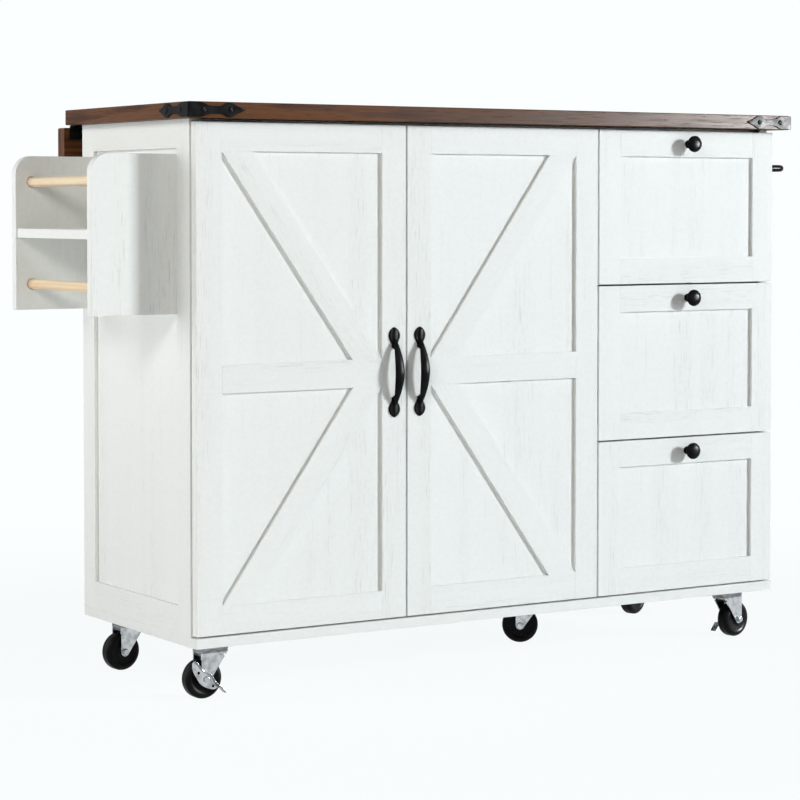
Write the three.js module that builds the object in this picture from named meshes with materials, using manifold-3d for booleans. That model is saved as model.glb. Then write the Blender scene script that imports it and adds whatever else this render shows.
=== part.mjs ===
// Drop leaf kitchen island on five casters: a whitewashed cabinet with two braced doors and a column of
// three drawers, a dark worktop with a leaf that hangs behind it, a spice rack on the left and a towel
// rail on the right. Millimetres, +Z up. While it is built, X runs from the cabinet's left side to its
// right, Y from the face of the doors to the back, and Z up from the floor.

import * as THREE from "three";
import { mergeVertices } from "three/addons/utils/BufferGeometryUtils.js";
import Module from "manifold-3d";

const wasm = await Module();
wasm.setup();

// ------------------------------------------------------------------------------------ driving sizes

const clearance = 0.3; // between pieces that touch or seat on a cut face
const play = 0.5; // between pieces that slide or turn past each other

// Cabinet
const cabinetWidth = 1160;
const carcassDepth = 385;
const casterHeight = 88; // floor to the underside of the base board
const baseThickness = 16;
const sideHeight = 806;
const panelThickness = 12; // of the side panels behind their applied frames
const stripThickness = 6; // applied frame strips, on sides, doors and drawers alike
const sideStileWidth = 43;
const stripWidth = 45;
const partitionThickness = 16;
const backThickness = 12;
const stretcherWidth = 70;
const stretcherThickness = 16;
const shelfThickness = 16;
const shelfSetback = 30; // shelf's front edge, behind the carcass front
const shelfGroove = 5;

// Doors and drawer fronts
const columns = 3;
const drawerCount = 3;
const slabThickness = 10;
const frontInset = 2.5; // fronts stop short of the cabinet's sides
const frontGap = 3; // between neighbouring fronts, and over the base board
const frontTopGap = 5; // under the worktop
const carcassGap = 2; // between a closed front and the carcass

// Worktop and leaf
const worktopThickness = 25;
const worktopEndOverhang = 20;
const worktopFrontOverhang = 20; // past the door faces
const worktopRearOverhang = 25;
const worktopCornerRadius = 3;
const worktopBevel = 1.5;
const leafLength = 300;
const leafGap = 0.5; // between the worktop's edge and the raised leaf

// Leaf hinge, along the whole worktop
const hingeBarrelRadius = 3.2;
const hingePinRadius = 1.5;
const hingePlateWidth = 20;
const hingePlateThickness = 1.5;
const hingeEndInset = 10;
const hingeKnuckles = 15;

// Stays that prop the leaf up
const stayLength = 185; // pivot to tip
const stayWidth = 16;
const stayThickness = 10;
const stayEndInset = 290; // from the cabinet's side to the stay
const stayTopClearance = 1; // under the raised leaf
const stayReach = 121.26; // degrees that a stay swings while the leaf rises
const stayPinRadius = 3;
const stayEarThickness = 3;
const stayPlateThickness = 2.5;
const stayPlateHeight = 64;
const stayPlateWidth = 44;

// Drawer boxes and runners
const boxWall = 12;
const boxHeight = 180;
const boxBackGap = 25; // between a shut drawer's box and the back panel
const boxRise = 30; // box's lower edge over its front's lower edge
const boxBottom = 6;
const boxBottomRise = 8;
const runnerThickness = 12.7;
const runnerHeight = 36;
const runnerBackGap = 23; // between the runners and the back panel
const runnerWall = 2;
const railPlay = 1.2; // between a drawer's rail and the back of its runner
const railBackGap = 10; // a rail stops short of its runner's end

// Knobs and door handles
const knobRadius = 14.3;
const knobDepth = 25.5;
const knobHeadDepth = 12; // of the mushroom head
const knobNeckRadius = 4.5;
const knobFootRadius = 7;
const knobFootThickness = 2;
const handleLength = 146;
const handleProjection = 25;
const handleBowThickness = 7;
const handleBowWidth = 10;
const handleBowEndWidth = 6.4; // where the bow meets its collars
const handleLeafLength = 24; // leaf-shaped plate at each end
const handleLeafWidth = 19.6;
const handleLeafTip = 13; // from the tip to the plate's widest place
const handlePlateThickness = 3;
const handleCollarWidth = 10;
const handleCollarLength = 4;

// Concealed door hinges
const hingeCupRadius = 17.5;
const hingeCupDepth = 9;
const hingeCupInset = 22.5; // door edge to the centre of the cup
const hingeFlangeThickness = 1.2;
const hingeFlangeHeight = 52;
const hingeFlangeWidth = 22;
const hingeCupWall = 4;
const hingeCupFloor = 1.5;
const hingeKnuckleSize = 13;
const hingeFromEnd = 95; // door's end to the hinge
const hingeArmLength = 58;
const hingeArmHeight = 14;
const hingeArmDepth = 9;
const hingeBaseHeight = 44;
const hingeBaseWidth = 20;
const hingeBaseThickness = 3;

// Corner brackets of the worktop
const bracketThickness = 2.5;
const bracketHeight = 23;
const bracketWing = 98;
const bracketShoulder = 34; // from the corner to the end of the broad strap
const bracketTip = 28; // length of the pointed end
const bracketNeck = 13; // height of the waist between them
const bracketScrewRadius = 4.5;
const bracketScrewHeight = 1.5;
const bracketScrewInset = 15; // from the corner to the first screw

// Spice rack
const rackReach = 146; // from the cabinet's side
const rackHeight = 250;
const rackTopGap = 9; // under the side frame's top strip
const rackBoardThickness = 15;
const rackShelfThickness = 15;
const rackCornerRadius = 30;
const rackShelfInset = 3;
const dowelRadius = 8;
const dowelPlay = 1; // round a dowel in its hole
const dowelHoleDepth = 8;
const dowelFromEdge = 28.5; // board's outer edge to the dowel
const dowelFromEnd = 42; // board's top or bottom end to the dowel

// Towel rail
const railTubeRadius = 6;
const railProjection = 66; // from the cabinet's side to the rail's outer face
const railDrop = 67; // the worktop's underside to the rail
const railBendRadius = 18;
const railRoseRadius = 11;
const railRoseThickness = 3;

// Casters
const wheelRadius = 32;
const wheelWidth = 22;
const wheelSides = 24;
const wheelHubRadius = 10;
const wheelDish = 2.5; // how far the sides are sunk round the hub
const wheelShoulder = 4;
const casterTrail = 17; // swivel axis to axle, sideways
const casterInset = 56; // cabinet's edges to the swivel axes
const casterPlateSize = 60;
const casterPlateThickness = 2.5;
const casterRaceRadius = 20;
const casterRaceHeight = 5;
const forkThickness = 2.5;
const forkWheelGap = 1.6;
const forkLegTop = 37;
const forkLegEndRadius = 7;
const axleRadius = 3;
const axleHeadRadius = 5.5;
const axleHeadHeight = 2.5;
const brakeThickness = 2;
const brakeTailReach = 20; // from the axle to the lever's upper end, sideways
const brakeTailRise = 22;
const brakeNoseReach = 21; // from the axle to the lever's lower end, sideways
const brakeNoseDrop = 14;
const brakeEndRadius = 8;
const brakePedalLength = 20;
const brakePedalDepth = 13;
const brakePedalThickness = 2.5;

// ------------------------------------------------------------------------------- places worked out

const baseTop = casterHeight + baseThickness;
const cabinetTop = baseTop + sideHeight; // the worktop's underside
const overallTop = cabinetTop + worktopThickness;
const frontThickness = slabThickness + stripThickness;
const carcassFront = frontThickness + carcassGap;
const cabinetBack = carcassFront + carcassDepth;
const sideThickness = panelThickness + stripThickness;
const columnWidth = cabinetWidth / columns;
const partitionX = (columns - 1) * columnWidth; // its middle
const frontBottom = baseTop + frontGap;
const frontTop = cabinetTop - frontTopGap;
const frontMiddle = (frontBottom + frontTop) / 2;
const drawerFrontHeight = (frontTop - frontBottom - (drawerCount - 1) * frontGap) / drawerCount;
const worktopRear = cabinetBack + worktopRearOverhang;
const hingeAxisZ = cabinetTop - hingeBarrelRadius - clearance;
const leafInnerY = worktopRear + hingeBarrelRadius + clearance;
const hingeStart = hingeEndInset - worktopEndOverhang;
const hingeLength = cabinetWidth + 2 * worktopEndOverhang - 2 * hingeEndInset;
const axleZ = wheelRadius * Math.cos(Math.PI / wheelSides); // the wheel stands on one of its flats
const rackTop = cabinetTop - stripWidth - rackTopGap;
const rackBottom = rackTop - rackHeight;
const towelRailZ = cabinetTop - railDrop;
const boxBack = cabinetBack - backThickness - boxBackGap;
const runnerBack = cabinetBack - backThickness - runnerBackGap;

// --------------------------------------------------------------------------------------- materials

function finish(color, roughness, metalness = 0) {
  return new THREE.MeshStandardMaterial({ color, roughness, metalness });
}

const materials = {
  whitewash: finish(0xe6ebe9, 0.6),
  walnut: finish(0x5f3c2d, 0.5),
  dowel: finish(0xe9d0a4, 0.55),
  boxWood: finish(0xe0cfae, 0.65),
  iron: finish(0x16171a, 0.45, 0.6),
  steel: finish(0xb9bdc0, 0.35, 0.9),
  rubber: finish(0x121212, 0.6),
};

// ---------------------------------------------------------------------------------- solid modelling

// A closed three.js geometry as a solid for joining and cutting. A profile that runs the other way, or a
// mirrored geometry, is turned to face out.
function solid(shape) {
  if (!shape.isBufferGeometry) return shape;
  const bare = shape.clone();
  for (const name of Object.keys(bare.attributes)) {
    if (name !== "position") bare.deleteAttribute(name);
  }
  const merged = mergeVertices(bare, 1e-4);
  const vertProperties = new Float32Array(merged.attributes.position.array);
  const corners = new Uint32Array(merged.index.array);
  const build = (triVerts) => new wasm.Manifold(new wasm.Mesh({ numProp: 3, vertProperties, triVerts }));
  const made = build(corners);
  return made.volume() >= 0 ? made : build(corners.reverse());
}

function geometryOf(shape) {
  const mesh = solid(shape).getMesh();
  const corners = new Float32Array(mesh.triVerts.length * 3);
  mesh.triVerts.forEach((vertex, i) => {
    const start = vertex * mesh.numProp;
    corners.set(mesh.vertProperties.subarray(start, start + 3), i * 3);
  });
  const geometry = new THREE.BufferGeometry();
  geometry.setAttribute("position", new THREE.BufferAttribute(corners, 3));
  geometry.computeVertexNormals();
  return geometry;
}

function join(...shapes) {
  return shapes.flat().map(solid).reduce((whole, next) => whole.add(next));
}

function cut(whole, ...tools) {
  return tools.flat().map(solid).reduce((left, tool) => left.subtract(tool), solid(whole));
}

// A box between two corners.
function box([x0, y0, z0], [x1, y1, z1]) {
  const geometry = new THREE.BoxGeometry(x1 - x0, y1 - y0, z1 - z0);
  return geometry.translate((x0 + x1) / 2, (y0 + y1) / 2, (z0 + z1) / 2);
}

function outline(points) {
  return new THREE.Shape(points.map(([a, b]) => new THREE.Vector2(a, b)));
}

// Turns a shape drawn in a plane into a prism: "x" reads it as (Y, Z), "y" as (X, Z) and "z" as (X, Y).
// Its ends on that axis are at from and to.
function prism(shape, axis, from, to, curveSegments = 6) {
  const options = { depth: to - from, bevelEnabled: false, curveSegments };
  const geometry = new THREE.ExtrudeGeometry(shape, options);
  const turns = {
    x: new THREE.Matrix4().set(0, 0, 1, from, 1, 0, 0, 0, 0, 1, 0, 0, 0, 0, 0, 1),
    y: new THREE.Matrix4().set(1, 0, 0, 0, 0, 0, -1, to, 0, 1, 0, 0, 0, 0, 0, 1),
    z: new THREE.Matrix4().makeTranslation(0, 0, from),
  };
  return geometry.applyMatrix4(turns[axis]);
}

// A straight round bar along an axis, centred on a point of it; endRadius is its radius at the far end.
function bar(radius, axis, [x, y, z], length, sides = 16, endRadius = radius) {
  const geometry = new THREE.CylinderGeometry(endRadius, radius, length, sides);
  if (axis === "x") geometry.rotateZ(-Math.PI / 2);
  if (axis === "z") geometry.rotateX(Math.PI / 2);
  return geometry.translate(x, y, z);
}

// A turned piece about the Y axis, from a profile of [radius, height] points.
function turned(profile, sides) {
  const points = profile.map(([radius, height]) => new THREE.Vector2(radius, height));
  return new THREE.LatheGeometry(points, sides);
}

function roundedRectangle(x0, y0, x1, y1, radius) {
  const shape = new THREE.Shape();
  shape.moveTo(x0 + radius, y0);
  shape.lineTo(x1 - radius, y0).absarc(x1 - radius, y0 + radius, radius, -Math.PI / 2, 0);
  shape.lineTo(x1, y1 - radius).absarc(x1 - radius, y1 - radius, radius, 0, Math.PI / 2);
  shape.lineTo(x0 + radius, y1).absarc(x0 + radius, y1 - radius, radius, Math.PI / 2, Math.PI);
  shape.lineTo(x0, y0 + radius).absarc(x0 + radius, y0 + radius, radius, Math.PI, 1.5 * Math.PI);
  return shape;
}

const island = new THREE.Group();

function place(name, shape, material, parent = island) {
  const mesh = new THREE.Mesh(geometryOf(shape), material);
  mesh.name = name;
  parent.add(mesh);
  return mesh;
}

// A group at a place, for pieces that are laid out about it.
function groupAt(x, y, z) {
  const group = new THREE.Group();
  group.position.set(x, y, z);
  island.add(group);
  return group;
}

// What is put in this group stands on the cabinet's right side as its mirror image does on the left.
const mirrored = groupAt(cabinetWidth, 0, 0);
mirrored.scale.x = -1;

// ------------------------------------------------------------------------------------------ carcass

// Left side panel: a thin panel with four strips applied outside, and a groove for the shelf inside.
function sidePanel() {
  const panel = box([stripThickness, carcassFront, baseTop], [sideThickness, cabinetBack, cabinetTop]);
  const inner = stripThickness + 1; // strips reach a little into the panel, so that they join
  const strips = [
    box([0, carcassFront, baseTop], [inner, carcassFront + sideStileWidth, cabinetTop]),
    box([0, cabinetBack - sideStileWidth, baseTop], [inner, cabinetBack, cabinetTop]),
    box([0, carcassFront, baseTop], [inner, cabinetBack, baseTop + stripWidth]),
    box([0, carcassFront, cabinetTop - stripWidth], [inner, cabinetBack, cabinetTop]),
  ];
  return join(panel, strips);
}

const shelfBottom = frontMiddle - shelfThickness / 2;
const shelfFront = carcassFront + shelfSetback;

function shelfGrooveCutter(x0, x1) {
  return box(
    [x0, shelfFront - clearance, shelfBottom - clearance],
    [x1, cabinetBack - backThickness, shelfBottom + shelfThickness + clearance],
  );
}

function buildCarcass() {
  const partitionLeft = partitionX - partitionThickness / 2;
  const partitionRight = partitionX + partitionThickness / 2;
  const backFront = cabinetBack - backThickness;
  const stretcherBack = carcassFront + stretcherWidth;
  const stretcherBottom = cabinetTop - stretcherThickness;

  const base = box([0, 0, casterHeight], [cabinetWidth, cabinetBack, baseTop]);
  const plates = casterPlaces.map(({ x, y }) => {
    const half = casterPlateSize / 2;
    const shape = roundedRectangle(x - half, y - half, x + half, y + half, 5);
    return prism(shape, "z", casterHeight - casterPlateThickness, casterHeight + 1, 2);
  });
  place("base_board", join(base, plates), materials.whitewash);

  const groove = shelfGrooveCutter(sideThickness - shelfGroove, sideThickness + 1);
  place("side_panel_left", cut(sidePanel(), groove), materials.whitewash);
  place("side_panel_right", sidePanel(), materials.whitewash, mirrored);

  const partition = box([partitionLeft, carcassFront, baseTop], [partitionRight, backFront, cabinetTop]);
  const notch = box(
    [partitionLeft - 1, carcassFront - 1, stretcherBottom],
    [partitionRight + 1, stretcherBack, cabinetTop + 1],
  );
  const shelfEnd = shelfGrooveCutter(partitionLeft - 1, partitionLeft + shelfGroove);
  place("partition", cut(partition, notch, shelfEnd), materials.whitewash);

  const [left, right] = [sideThickness, cabinetWidth - sideThickness];
  const stretcher = box([left, carcassFront, stretcherBottom], [right, stretcherBack, cabinetTop]);
  place("top_stretcher", stretcher, materials.whitewash);

  const backPanel = box([left, backFront, baseTop], [right, cabinetBack, cabinetTop]);
  place("back_panel", join(backPanel, stayPlaces.map(stayBracket)), materials.whitewash);

  place(
    "cabinet_shelf",
    box(
      [sideThickness - shelfGroove + clearance, shelfFront, shelfBottom],
      [partitionLeft + shelfGroove - clearance, backFront, shelfBottom + shelfThickness],
    ),
    materials.whitewash,
  );
}

// --------------------------------------------------------------------------------- worktop and leaf

// A board with small bevels on its edges, drawn in plan and laid between two heights.
function bevelledBoard([x0, y0], [x1, y1], z0, z1) {
  const b = worktopBevel;
  const plan = roundedRectangle(x0 + b, y0 + b, x1 - b, y1 - b, worktopCornerRadius);
  const depth = z1 - z0 - 2 * b;
  const bevel = { bevelThickness: b, bevelSize: b, bevelSegments: 1 };
  return new THREE.ExtrudeGeometry(plan, { depth, curveSegments: 2, ...bevel }).translate(0, 0, z0 + b);
}

// One half of the leaf hinge about its own axis, along X: the plate under the board and every other
// knuckle. The half on the -Y side holds the pin; the other's knuckles are bored to turn on it.
function hingeHalf(side) {
  const holdsPin = side < 0;
  const pitch = hingeLength / hingeKnuckles;
  const top = hingeBarrelRadius + clearance;
  const plateFrom = ([x0, x1], near) => {
    const [y0, y1] = [side * near, side * hingePlateWidth].sort((a, b) => a - b);
    return box([x0, y0, top - hingePlateThickness], [x1, y1, top]);
  };
  const pieces = [plateFrom([hingeStart, hingeStart + hingeLength], hingeBarrelRadius + play)];
  for (let i = holdsPin ? 0 : 1; i < hingeKnuckles; i += 2) {
    const from = hingeStart + i * pitch + (i > 0 ? clearance : 0);
    const to = hingeStart + (i + 1) * pitch - (i < hingeKnuckles - 1 ? clearance : 0);
    pieces.push(bar(hingeBarrelRadius, "x", [(from + to) / 2, 0, 0], to - from, 12));
    pieces.push(plateFrom([from, to], 0));
  }
  const middle = [hingeStart + hingeLength / 2, 0, 0];
  if (holdsPin) return join(pieces, bar(hingePinRadius, "x", middle, hingeLength, 8));
  return cut(join(pieces), bar(hingePinRadius + 2 * clearance, "x", middle, hingeLength + 2, 8));
}

function buildTop() {
  const left = -worktopEndOverhang;
  const right = cabinetWidth + worktopEndOverhang;
  const worktop = bevelledBoard([left, -worktopFrontOverhang], [right, worktopRear], cabinetTop, overallTop);
  place("worktop", worktop, materials.walnut);
  place("leaf_hinge_fixed_half", hingeHalf(-1), materials.iron).position.set(0, worktopRear, hingeAxisZ);

  // The leaf is laid out as it stands when raised, and turned down about the hinge.
  const leaf = groupAt(0, worktopRear, hingeAxisZ);
  leaf.rotation.x = -Math.PI / 2;
  const underside = hingeBarrelRadius + clearance;
  const corners = [[left, leafGap], [right, leafGap + leafLength]];
  const board = bevelledBoard(...corners, underside, underside + worktopThickness);
  place("drop_leaf", board, materials.walnut, leaf);
  place("leaf_hinge_moving_half", hingeHalf(1), materials.iron, leaf);
}

// -------------------------------------------------------------------------------------------- stays

const stayPlaces = [stayEndInset, cabinetWidth - stayEndInset];
const stayPivotY = cabinetBack + stayPlateThickness + stayWidth / 2 + play;
// The tip's round end stands just under the leaf's underside when both are up.
const stayTipZ = cabinetTop - stayTopClearance - stayWidth / 2;
const stayPivotZ = stayTipZ + stayLength * Math.cos(THREE.MathUtils.degToRad(stayReach));

// Bracket on the cabinet's back: a plate with two ears, and the pin that the stay turns on.
function stayBracket(x) {
  const half = stayThickness / 2 + clearance;
  const plate = box(
    [x - stayPlateWidth / 2, cabinetBack - 1, stayPivotZ - stayPlateHeight / 2],
    [x + stayPlateWidth / 2, cabinetBack + stayPlateThickness, stayPivotZ + stayPlateHeight / 2],
  );
  const ear = new THREE.Shape();
  ear.moveTo(cabinetBack, stayPivotZ - stayWidth);
  ear.lineTo(stayPivotY, stayPivotZ - stayWidth / 2);
  ear.absarc(stayPivotY, stayPivotZ, stayWidth / 2, -Math.PI / 2, Math.PI / 2);
  ear.lineTo(cabinetBack, stayPivotZ + stayWidth);
  const ears = [
    prism(ear, "x", x - half - stayEarThickness, x - half, 4),
    prism(ear, "x", x + half, x + half + stayEarThickness, 4),
  ];
  const pin = bar(stayPinRadius, "x", [x, stayPivotY, stayPivotZ], 2 * (half + stayEarThickness) + 2, 12);
  return join(plate, ears, pin);
}

// Stay arm about its own pivot, hanging down.
function stayArm() {
  const r = stayWidth / 2;
  const side = new THREE.Shape();
  side.moveTo(r, 0);
  side.absarc(0, 0, r, 0, Math.PI);
  side.absarc(0, -stayLength, r, Math.PI, 2 * Math.PI);
  const arm = prism(side, "x", -stayThickness / 2, stayThickness / 2);
  return cut(arm, bar(stayPinRadius + play, "x", [0, 0, 0], stayThickness + 2, 12));
}

function buildStays() {
  stayPlaces.forEach((x, i) => {
    const name = `leaf_stay_${["left", "right"][i]}`;
    place(name, stayArm(), materials.iron).position.set(x, stayPivotY, stayPivotZ);
  });
}

// -------------------------------------------------------------------------------- doors and drawers

// A slab with an applied frame on its outer face, from x0 to x1 and z0 to z1, its outer face at Y = 0.
// Each rail is given by its lower edge.
function framedFront(x0, x1, z0, z1, railBottoms) {
  const through = stripThickness + 1;
  const pieces = [
    box([x0, stripThickness, z0], [x1, frontThickness, z1]),
    box([x0, 0, z0], [x0 + stripWidth, through, z1]),
    box([x1 - stripWidth, 0, z0], [x1, through, z1]),
  ];
  for (const bottom of railBottoms) {
    pieces.push(box([x0, 0, bottom], [x1, through, bottom + stripWidth]));
  }
  return join(pieces);
}

// A brace across an opening: a strip whose edges run through two opposite corners. It falls to the
// right, or rises to the right.
function brace(x0, x1, z0, z1, isFalling) {
  const width = x1 - x0;
  const height = z1 - z0;
  let foot = stripWidth; // how much of a rail the strip covers
  for (let i = 0; i < 8; i++) foot = (stripWidth * Math.hypot(width - foot, height)) / height;
  const points = isFalling
    ? [[x1 - foot, z0], [x1, z0], [x0 + foot, z1], [x0, z1]]
    : [[x0, z0], [x0 + foot, z0], [x1, z1], [x1 - foot, z1]];
  return prism(outline(points), "y", 0, stripThickness + 1);
}

// A door about its hinged edge, reaching width along +X. It has a rail at each end and one in the
// middle, and its two braces meet at the middle rail on the side of the handle.
function door(width, cupPlaces) {
  const middleRail = frontMiddle - stripWidth / 2;
  const frame = framedFront(0, width, frontBottom, frontTop, [frontBottom, middleRail, frontTop - stripWidth]);
  const braces = [
    brace(stripWidth, width - stripWidth, middleRail + stripWidth, frontTop - stripWidth, true),
    brace(stripWidth, width - stripWidth, frontBottom + stripWidth, middleRail, false),
  ];
  const boreDepth = hingeCupDepth + clearance;
  const bores = cupPlaces.map((z) => {
    const middle = [hingeCupInset, frontThickness - boreDepth / 2 + 1, z];
    return bar(hingeCupRadius + clearance, "y", middle, boreDepth + 2, 20);
  });
  return cut(join(frame, braces), bores);
}

// Hinge cup about its own axis, let into the back of the door: the cup, its screw flange, and the
// knuckle in its well that the arm meets when the door is shut.
function hingeCup() {
  const cupFront = frontThickness - hingeCupDepth;
  const cupBack = frontThickness + hingeFlangeThickness;
  const cup = bar(hingeCupRadius, "y", [0, (cupFront + frontThickness) / 2, 0], hingeCupDepth, 20);
  const [w, h] = [hingeFlangeWidth / 2, hingeFlangeHeight / 2];
  const flange = prism(roundedRectangle(-w, -h, w, h, 6), "y", frontThickness, cupBack, 2);
  const wellMiddle = [0, cupFront + hingeCupFloor + hingeCupDepth, 0];
  const well = bar(hingeCupRadius - hingeCupWall, "y", wellMiddle, 2 * hingeCupDepth);
  const half = hingeKnuckleSize / 2;
  const knuckle = box([-half, cupFront, -half], [half, cupBack, half]);
  return join(cut(join(cup, flange), well), knuckle);
}

// Hinge arm on the cabinet wall: a base plate and the arm that reaches forward to the cup. The wall's
// face is at wallX, and inward is +1 or -1 along X.
function hingeArm(wallX, inward, z) {
  const between = (from, to) => [wallX + inward * from, wallX + inward * to].sort((a, b) => a - b);
  const [baseLow, baseHigh] = between(0, hingeBaseThickness);
  const armSides = between(hingeBaseThickness - 1, hingeBaseThickness + hingeArmDepth);
  const armFront = frontThickness + hingeFlangeThickness + clearance;
  const armBack = armFront + hingeArmLength;
  const baseBack = armBack - 8;
  const [half, halfBase] = [hingeArmHeight / 2, hingeBaseHeight / 2];
  const plate = box([baseLow, baseBack - hingeBaseWidth, z - halfBase], [baseHigh, baseBack, z + halfBase]);
  const side = outline([
    [armFront, z - half],
    [armBack, z - half + 1.5],
    [armBack, z + half - 1.5],
    [armFront, z + half],
  ]);
  return join(plate, prism(side, "x", ...armSides));
}

// Door handle about its middle: the outline seen from the front crossed with the profile seen from the
// side. Each end is a leaf-shaped plate and a collar, and the bow between them widens to its middle.
function doorHandle() {
  const half = handleLength / 2;
  const neck = half - handleLeafLength;
  const widest = half - handleLeafTip;
  const collarInner = neck - handleCollarLength;
  const quarter = new THREE.Path();
  quarter.moveTo(handleBowWidth / 2, 0);
  quarter.quadraticCurveTo(handleBowWidth / 2, collarInner / 2, handleBowEndWidth / 2, collarInner);
  quarter.lineTo(handleCollarWidth / 2, collarInner);
  quarter.lineTo(handleCollarWidth / 2, neck);
  quarter.lineTo(handleBowEndWidth / 2, neck);
  quarter.quadraticCurveTo(handleLeafWidth / 2, neck + 2, handleLeafWidth / 2, widest);
  quarter.quadraticCurveTo(handleLeafWidth / 2, half - 5, 0, half);
  const upper = quarter.getPoints(4);
  const lower = upper.slice(1).map(({ x, y }) => new THREE.Vector2(x, -y)).reverse();
  const right = [...lower, ...upper];
  const left = right.slice(1, -1).map(({ x, y }) => new THREE.Vector2(-x, y)).reverse();
  const front = prism(new THREE.Shape([...right, ...left]), "y", -handleProjection - 1, 0);

  const side = new THREE.Shape();
  side.moveTo(0, -half);
  side.lineTo(0, -collarInner);
  side.quadraticCurveTo(-2 * (handleProjection - handleBowThickness), 0, 0, collarInner);
  side.lineTo(0, half);
  side.lineTo(-handlePlateThickness, half);
  side.lineTo(-handlePlateThickness, neck + 2);
  side.lineTo(-handlePlateThickness - 2, neck);
  side.quadraticCurveTo(-2 * handleProjection + handlePlateThickness + 2, 0, -handlePlateThickness - 2, -neck);
  side.lineTo(-handlePlateThickness, -neck - 2);
  side.lineTo(-handlePlateThickness, -half);
  return solid(front).intersect(solid(prism(side, "x", -handleLeafWidth, handleLeafWidth, 8)));
}

// Knob in front of the plane Y = 0: a foot, a neck and a mushroom head.
function knob() {
  const head = knobDepth - knobHeadDepth;
  const profile = [
    [0, 0],
    [knobFootRadius, 0],
    [knobFootRadius, -knobFootThickness],
    [knobNeckRadius, -knobFootThickness - 3],
    [knobNeckRadius, -head],
    [0.85 * knobRadius, -head - 0.12 * knobHeadDepth],
    [knobRadius, -head - 0.4 * knobHeadDepth],
    [0.87 * knobRadius, -head - 0.74 * knobHeadDepth],
    [0.48 * knobRadius, -head - 0.95 * knobHeadDepth],
    [0, -knobDepth],
  ];
  return turned(profile, 18);
}

// The doors hang at the outer ends of their span. The left one is drawn, and the right one mirrors it.
function buildDoors() {
  const gap = frontGap / 2;
  const hung = [
    {
      side: "left",
      hingeX: frontInset,
      width: columnWidth - gap - frontInset,
      wallX: sideThickness,
      inward: 1,
    },
    {
      side: "right",
      hingeX: partitionX - gap,
      width: partitionX - columnWidth - 2 * gap,
      wallX: partitionX - partitionThickness / 2,
      inward: -1,
    },
  ];
  const hinges = { lower: frontBottom + hingeFromEnd, upper: frontTop - hingeFromEnd };
  for (const { side, hingeX, width, wallX, inward } of hung) {
    const hinged = groupAt(hingeX, 0, 0);
    hinged.scale.x = inward;
    place(`door_${side}`, door(width, Object.values(hinges)), materials.whitewash, hinged);
    const handle = place(`door_handle_${side}`, doorHandle(), materials.iron, hinged);
    handle.position.set(width - stripWidth / 2, 0, frontMiddle);
    for (const [level, z] of Object.entries(hinges)) {
      const cup = place(`hinge_cup_${side}_${level}`, hingeCup(), materials.steel, hinged);
      cup.position.set(hingeCupInset, 0, z);
      place(`hinge_arm_${side}_${level}`, hingeArm(wallX, inward, z), materials.steel);
    }
  }
}

const compartmentLeft = partitionX + partitionThickness / 2; // of the drawers
const compartmentRight = cabinetWidth - sideThickness;
const runnerRise = boxRise + boxHeight / 2; // a front's lower edge to the middle of its runners

// Drawer box over its front's lower edge, with the rail on each side that runs inside the runner.
function drawerBox() {
  const left = compartmentLeft + runnerThickness;
  const right = compartmentRight - runnerThickness;
  const [x0, x1] = [left + boxWall, right - boxWall];
  const [y0, y1] = [frontThickness + boxWall, boxBack - boxWall];
  const bottom = boxRise + boxBottomRise;
  const block = box([left, frontThickness, boxRise], [right, boxBack, boxRise + boxHeight]);
  const inside = box([x0, y0, bottom + boxBottom], [x1, y1, boxRise + boxHeight + 1]);
  const underside = box([x0, y0, boxRise - 1], [x1, y1, bottom]);
  const half = runnerHeight / 2 - runnerWall - clearance;
  const railBack = runnerBack - railBackGap;
  const railThickness = runnerThickness - runnerWall - railPlay;
  const rails = [
    box([left - railThickness, carcassFront, runnerRise - half], [left + 1, railBack, runnerRise + half]),
    box([right - 1, carcassFront, runnerRise - half], [right + railThickness, railBack, runnerRise + half]),
  ];
  return join(cut(block, inside, underside), rails);
}

// Cabinet half of a runner: a channel that opens towards the drawer. Its back is on the wall at wallX.
function runner(wallX, inward, z) {
  const between = (from, to) => [wallX + inward * from, wallX + inward * to].sort((a, b) => a - b);
  const depth = runnerThickness - clearance;
  const half = runnerHeight / 2;
  const [x0, x1] = between(0, depth);
  const [slotX0, slotX1] = between(runnerWall, depth + 1);
  const slotHalf = half - runnerWall;
  const channel = box([x0, carcassFront, z - half], [x1, runnerBack, z + half]);
  const slotBack = runnerBack - 2 * runnerWall;
  const slot = box([slotX0, carcassFront - 1, z - slotHalf], [slotX1, slotBack, z + slotHalf]);
  return cut(channel, slot);
}

function buildDrawers() {
  const x0 = partitionX + frontGap / 2;
  const x1 = cabinetWidth - frontInset;
  ["lower", "middle", "upper"].forEach((level, i) => {
    const z0 = frontBottom + i * (drawerFrontHeight + frontGap);
    const drawer = groupAt(0, 0, z0);
    const railPlaces = [0, drawerFrontHeight - stripWidth];
    const front = framedFront(x0, x1, 0, drawerFrontHeight, railPlaces);
    place(`drawer_front_${level}`, front, materials.whitewash, drawer);
    place(`drawer_box_${level}`, drawerBox(), materials.boxWood, drawer);
    const handle = place(`drawer_knob_${level}`, knob(), materials.iron, drawer);
    handle.position.set((x0 + x1) / 2, 0, drawerFrontHeight - stripWidth / 2);
    place(`runner_left_${level}`, runner(compartmentLeft, 1, z0 + runnerRise), materials.steel);
    place(`runner_right_${level}`, runner(compartmentRight, -1, z0 + runnerRise), materials.steel);
  });
}

// ---------------------------------------------------------------------------------- corner brackets

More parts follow.
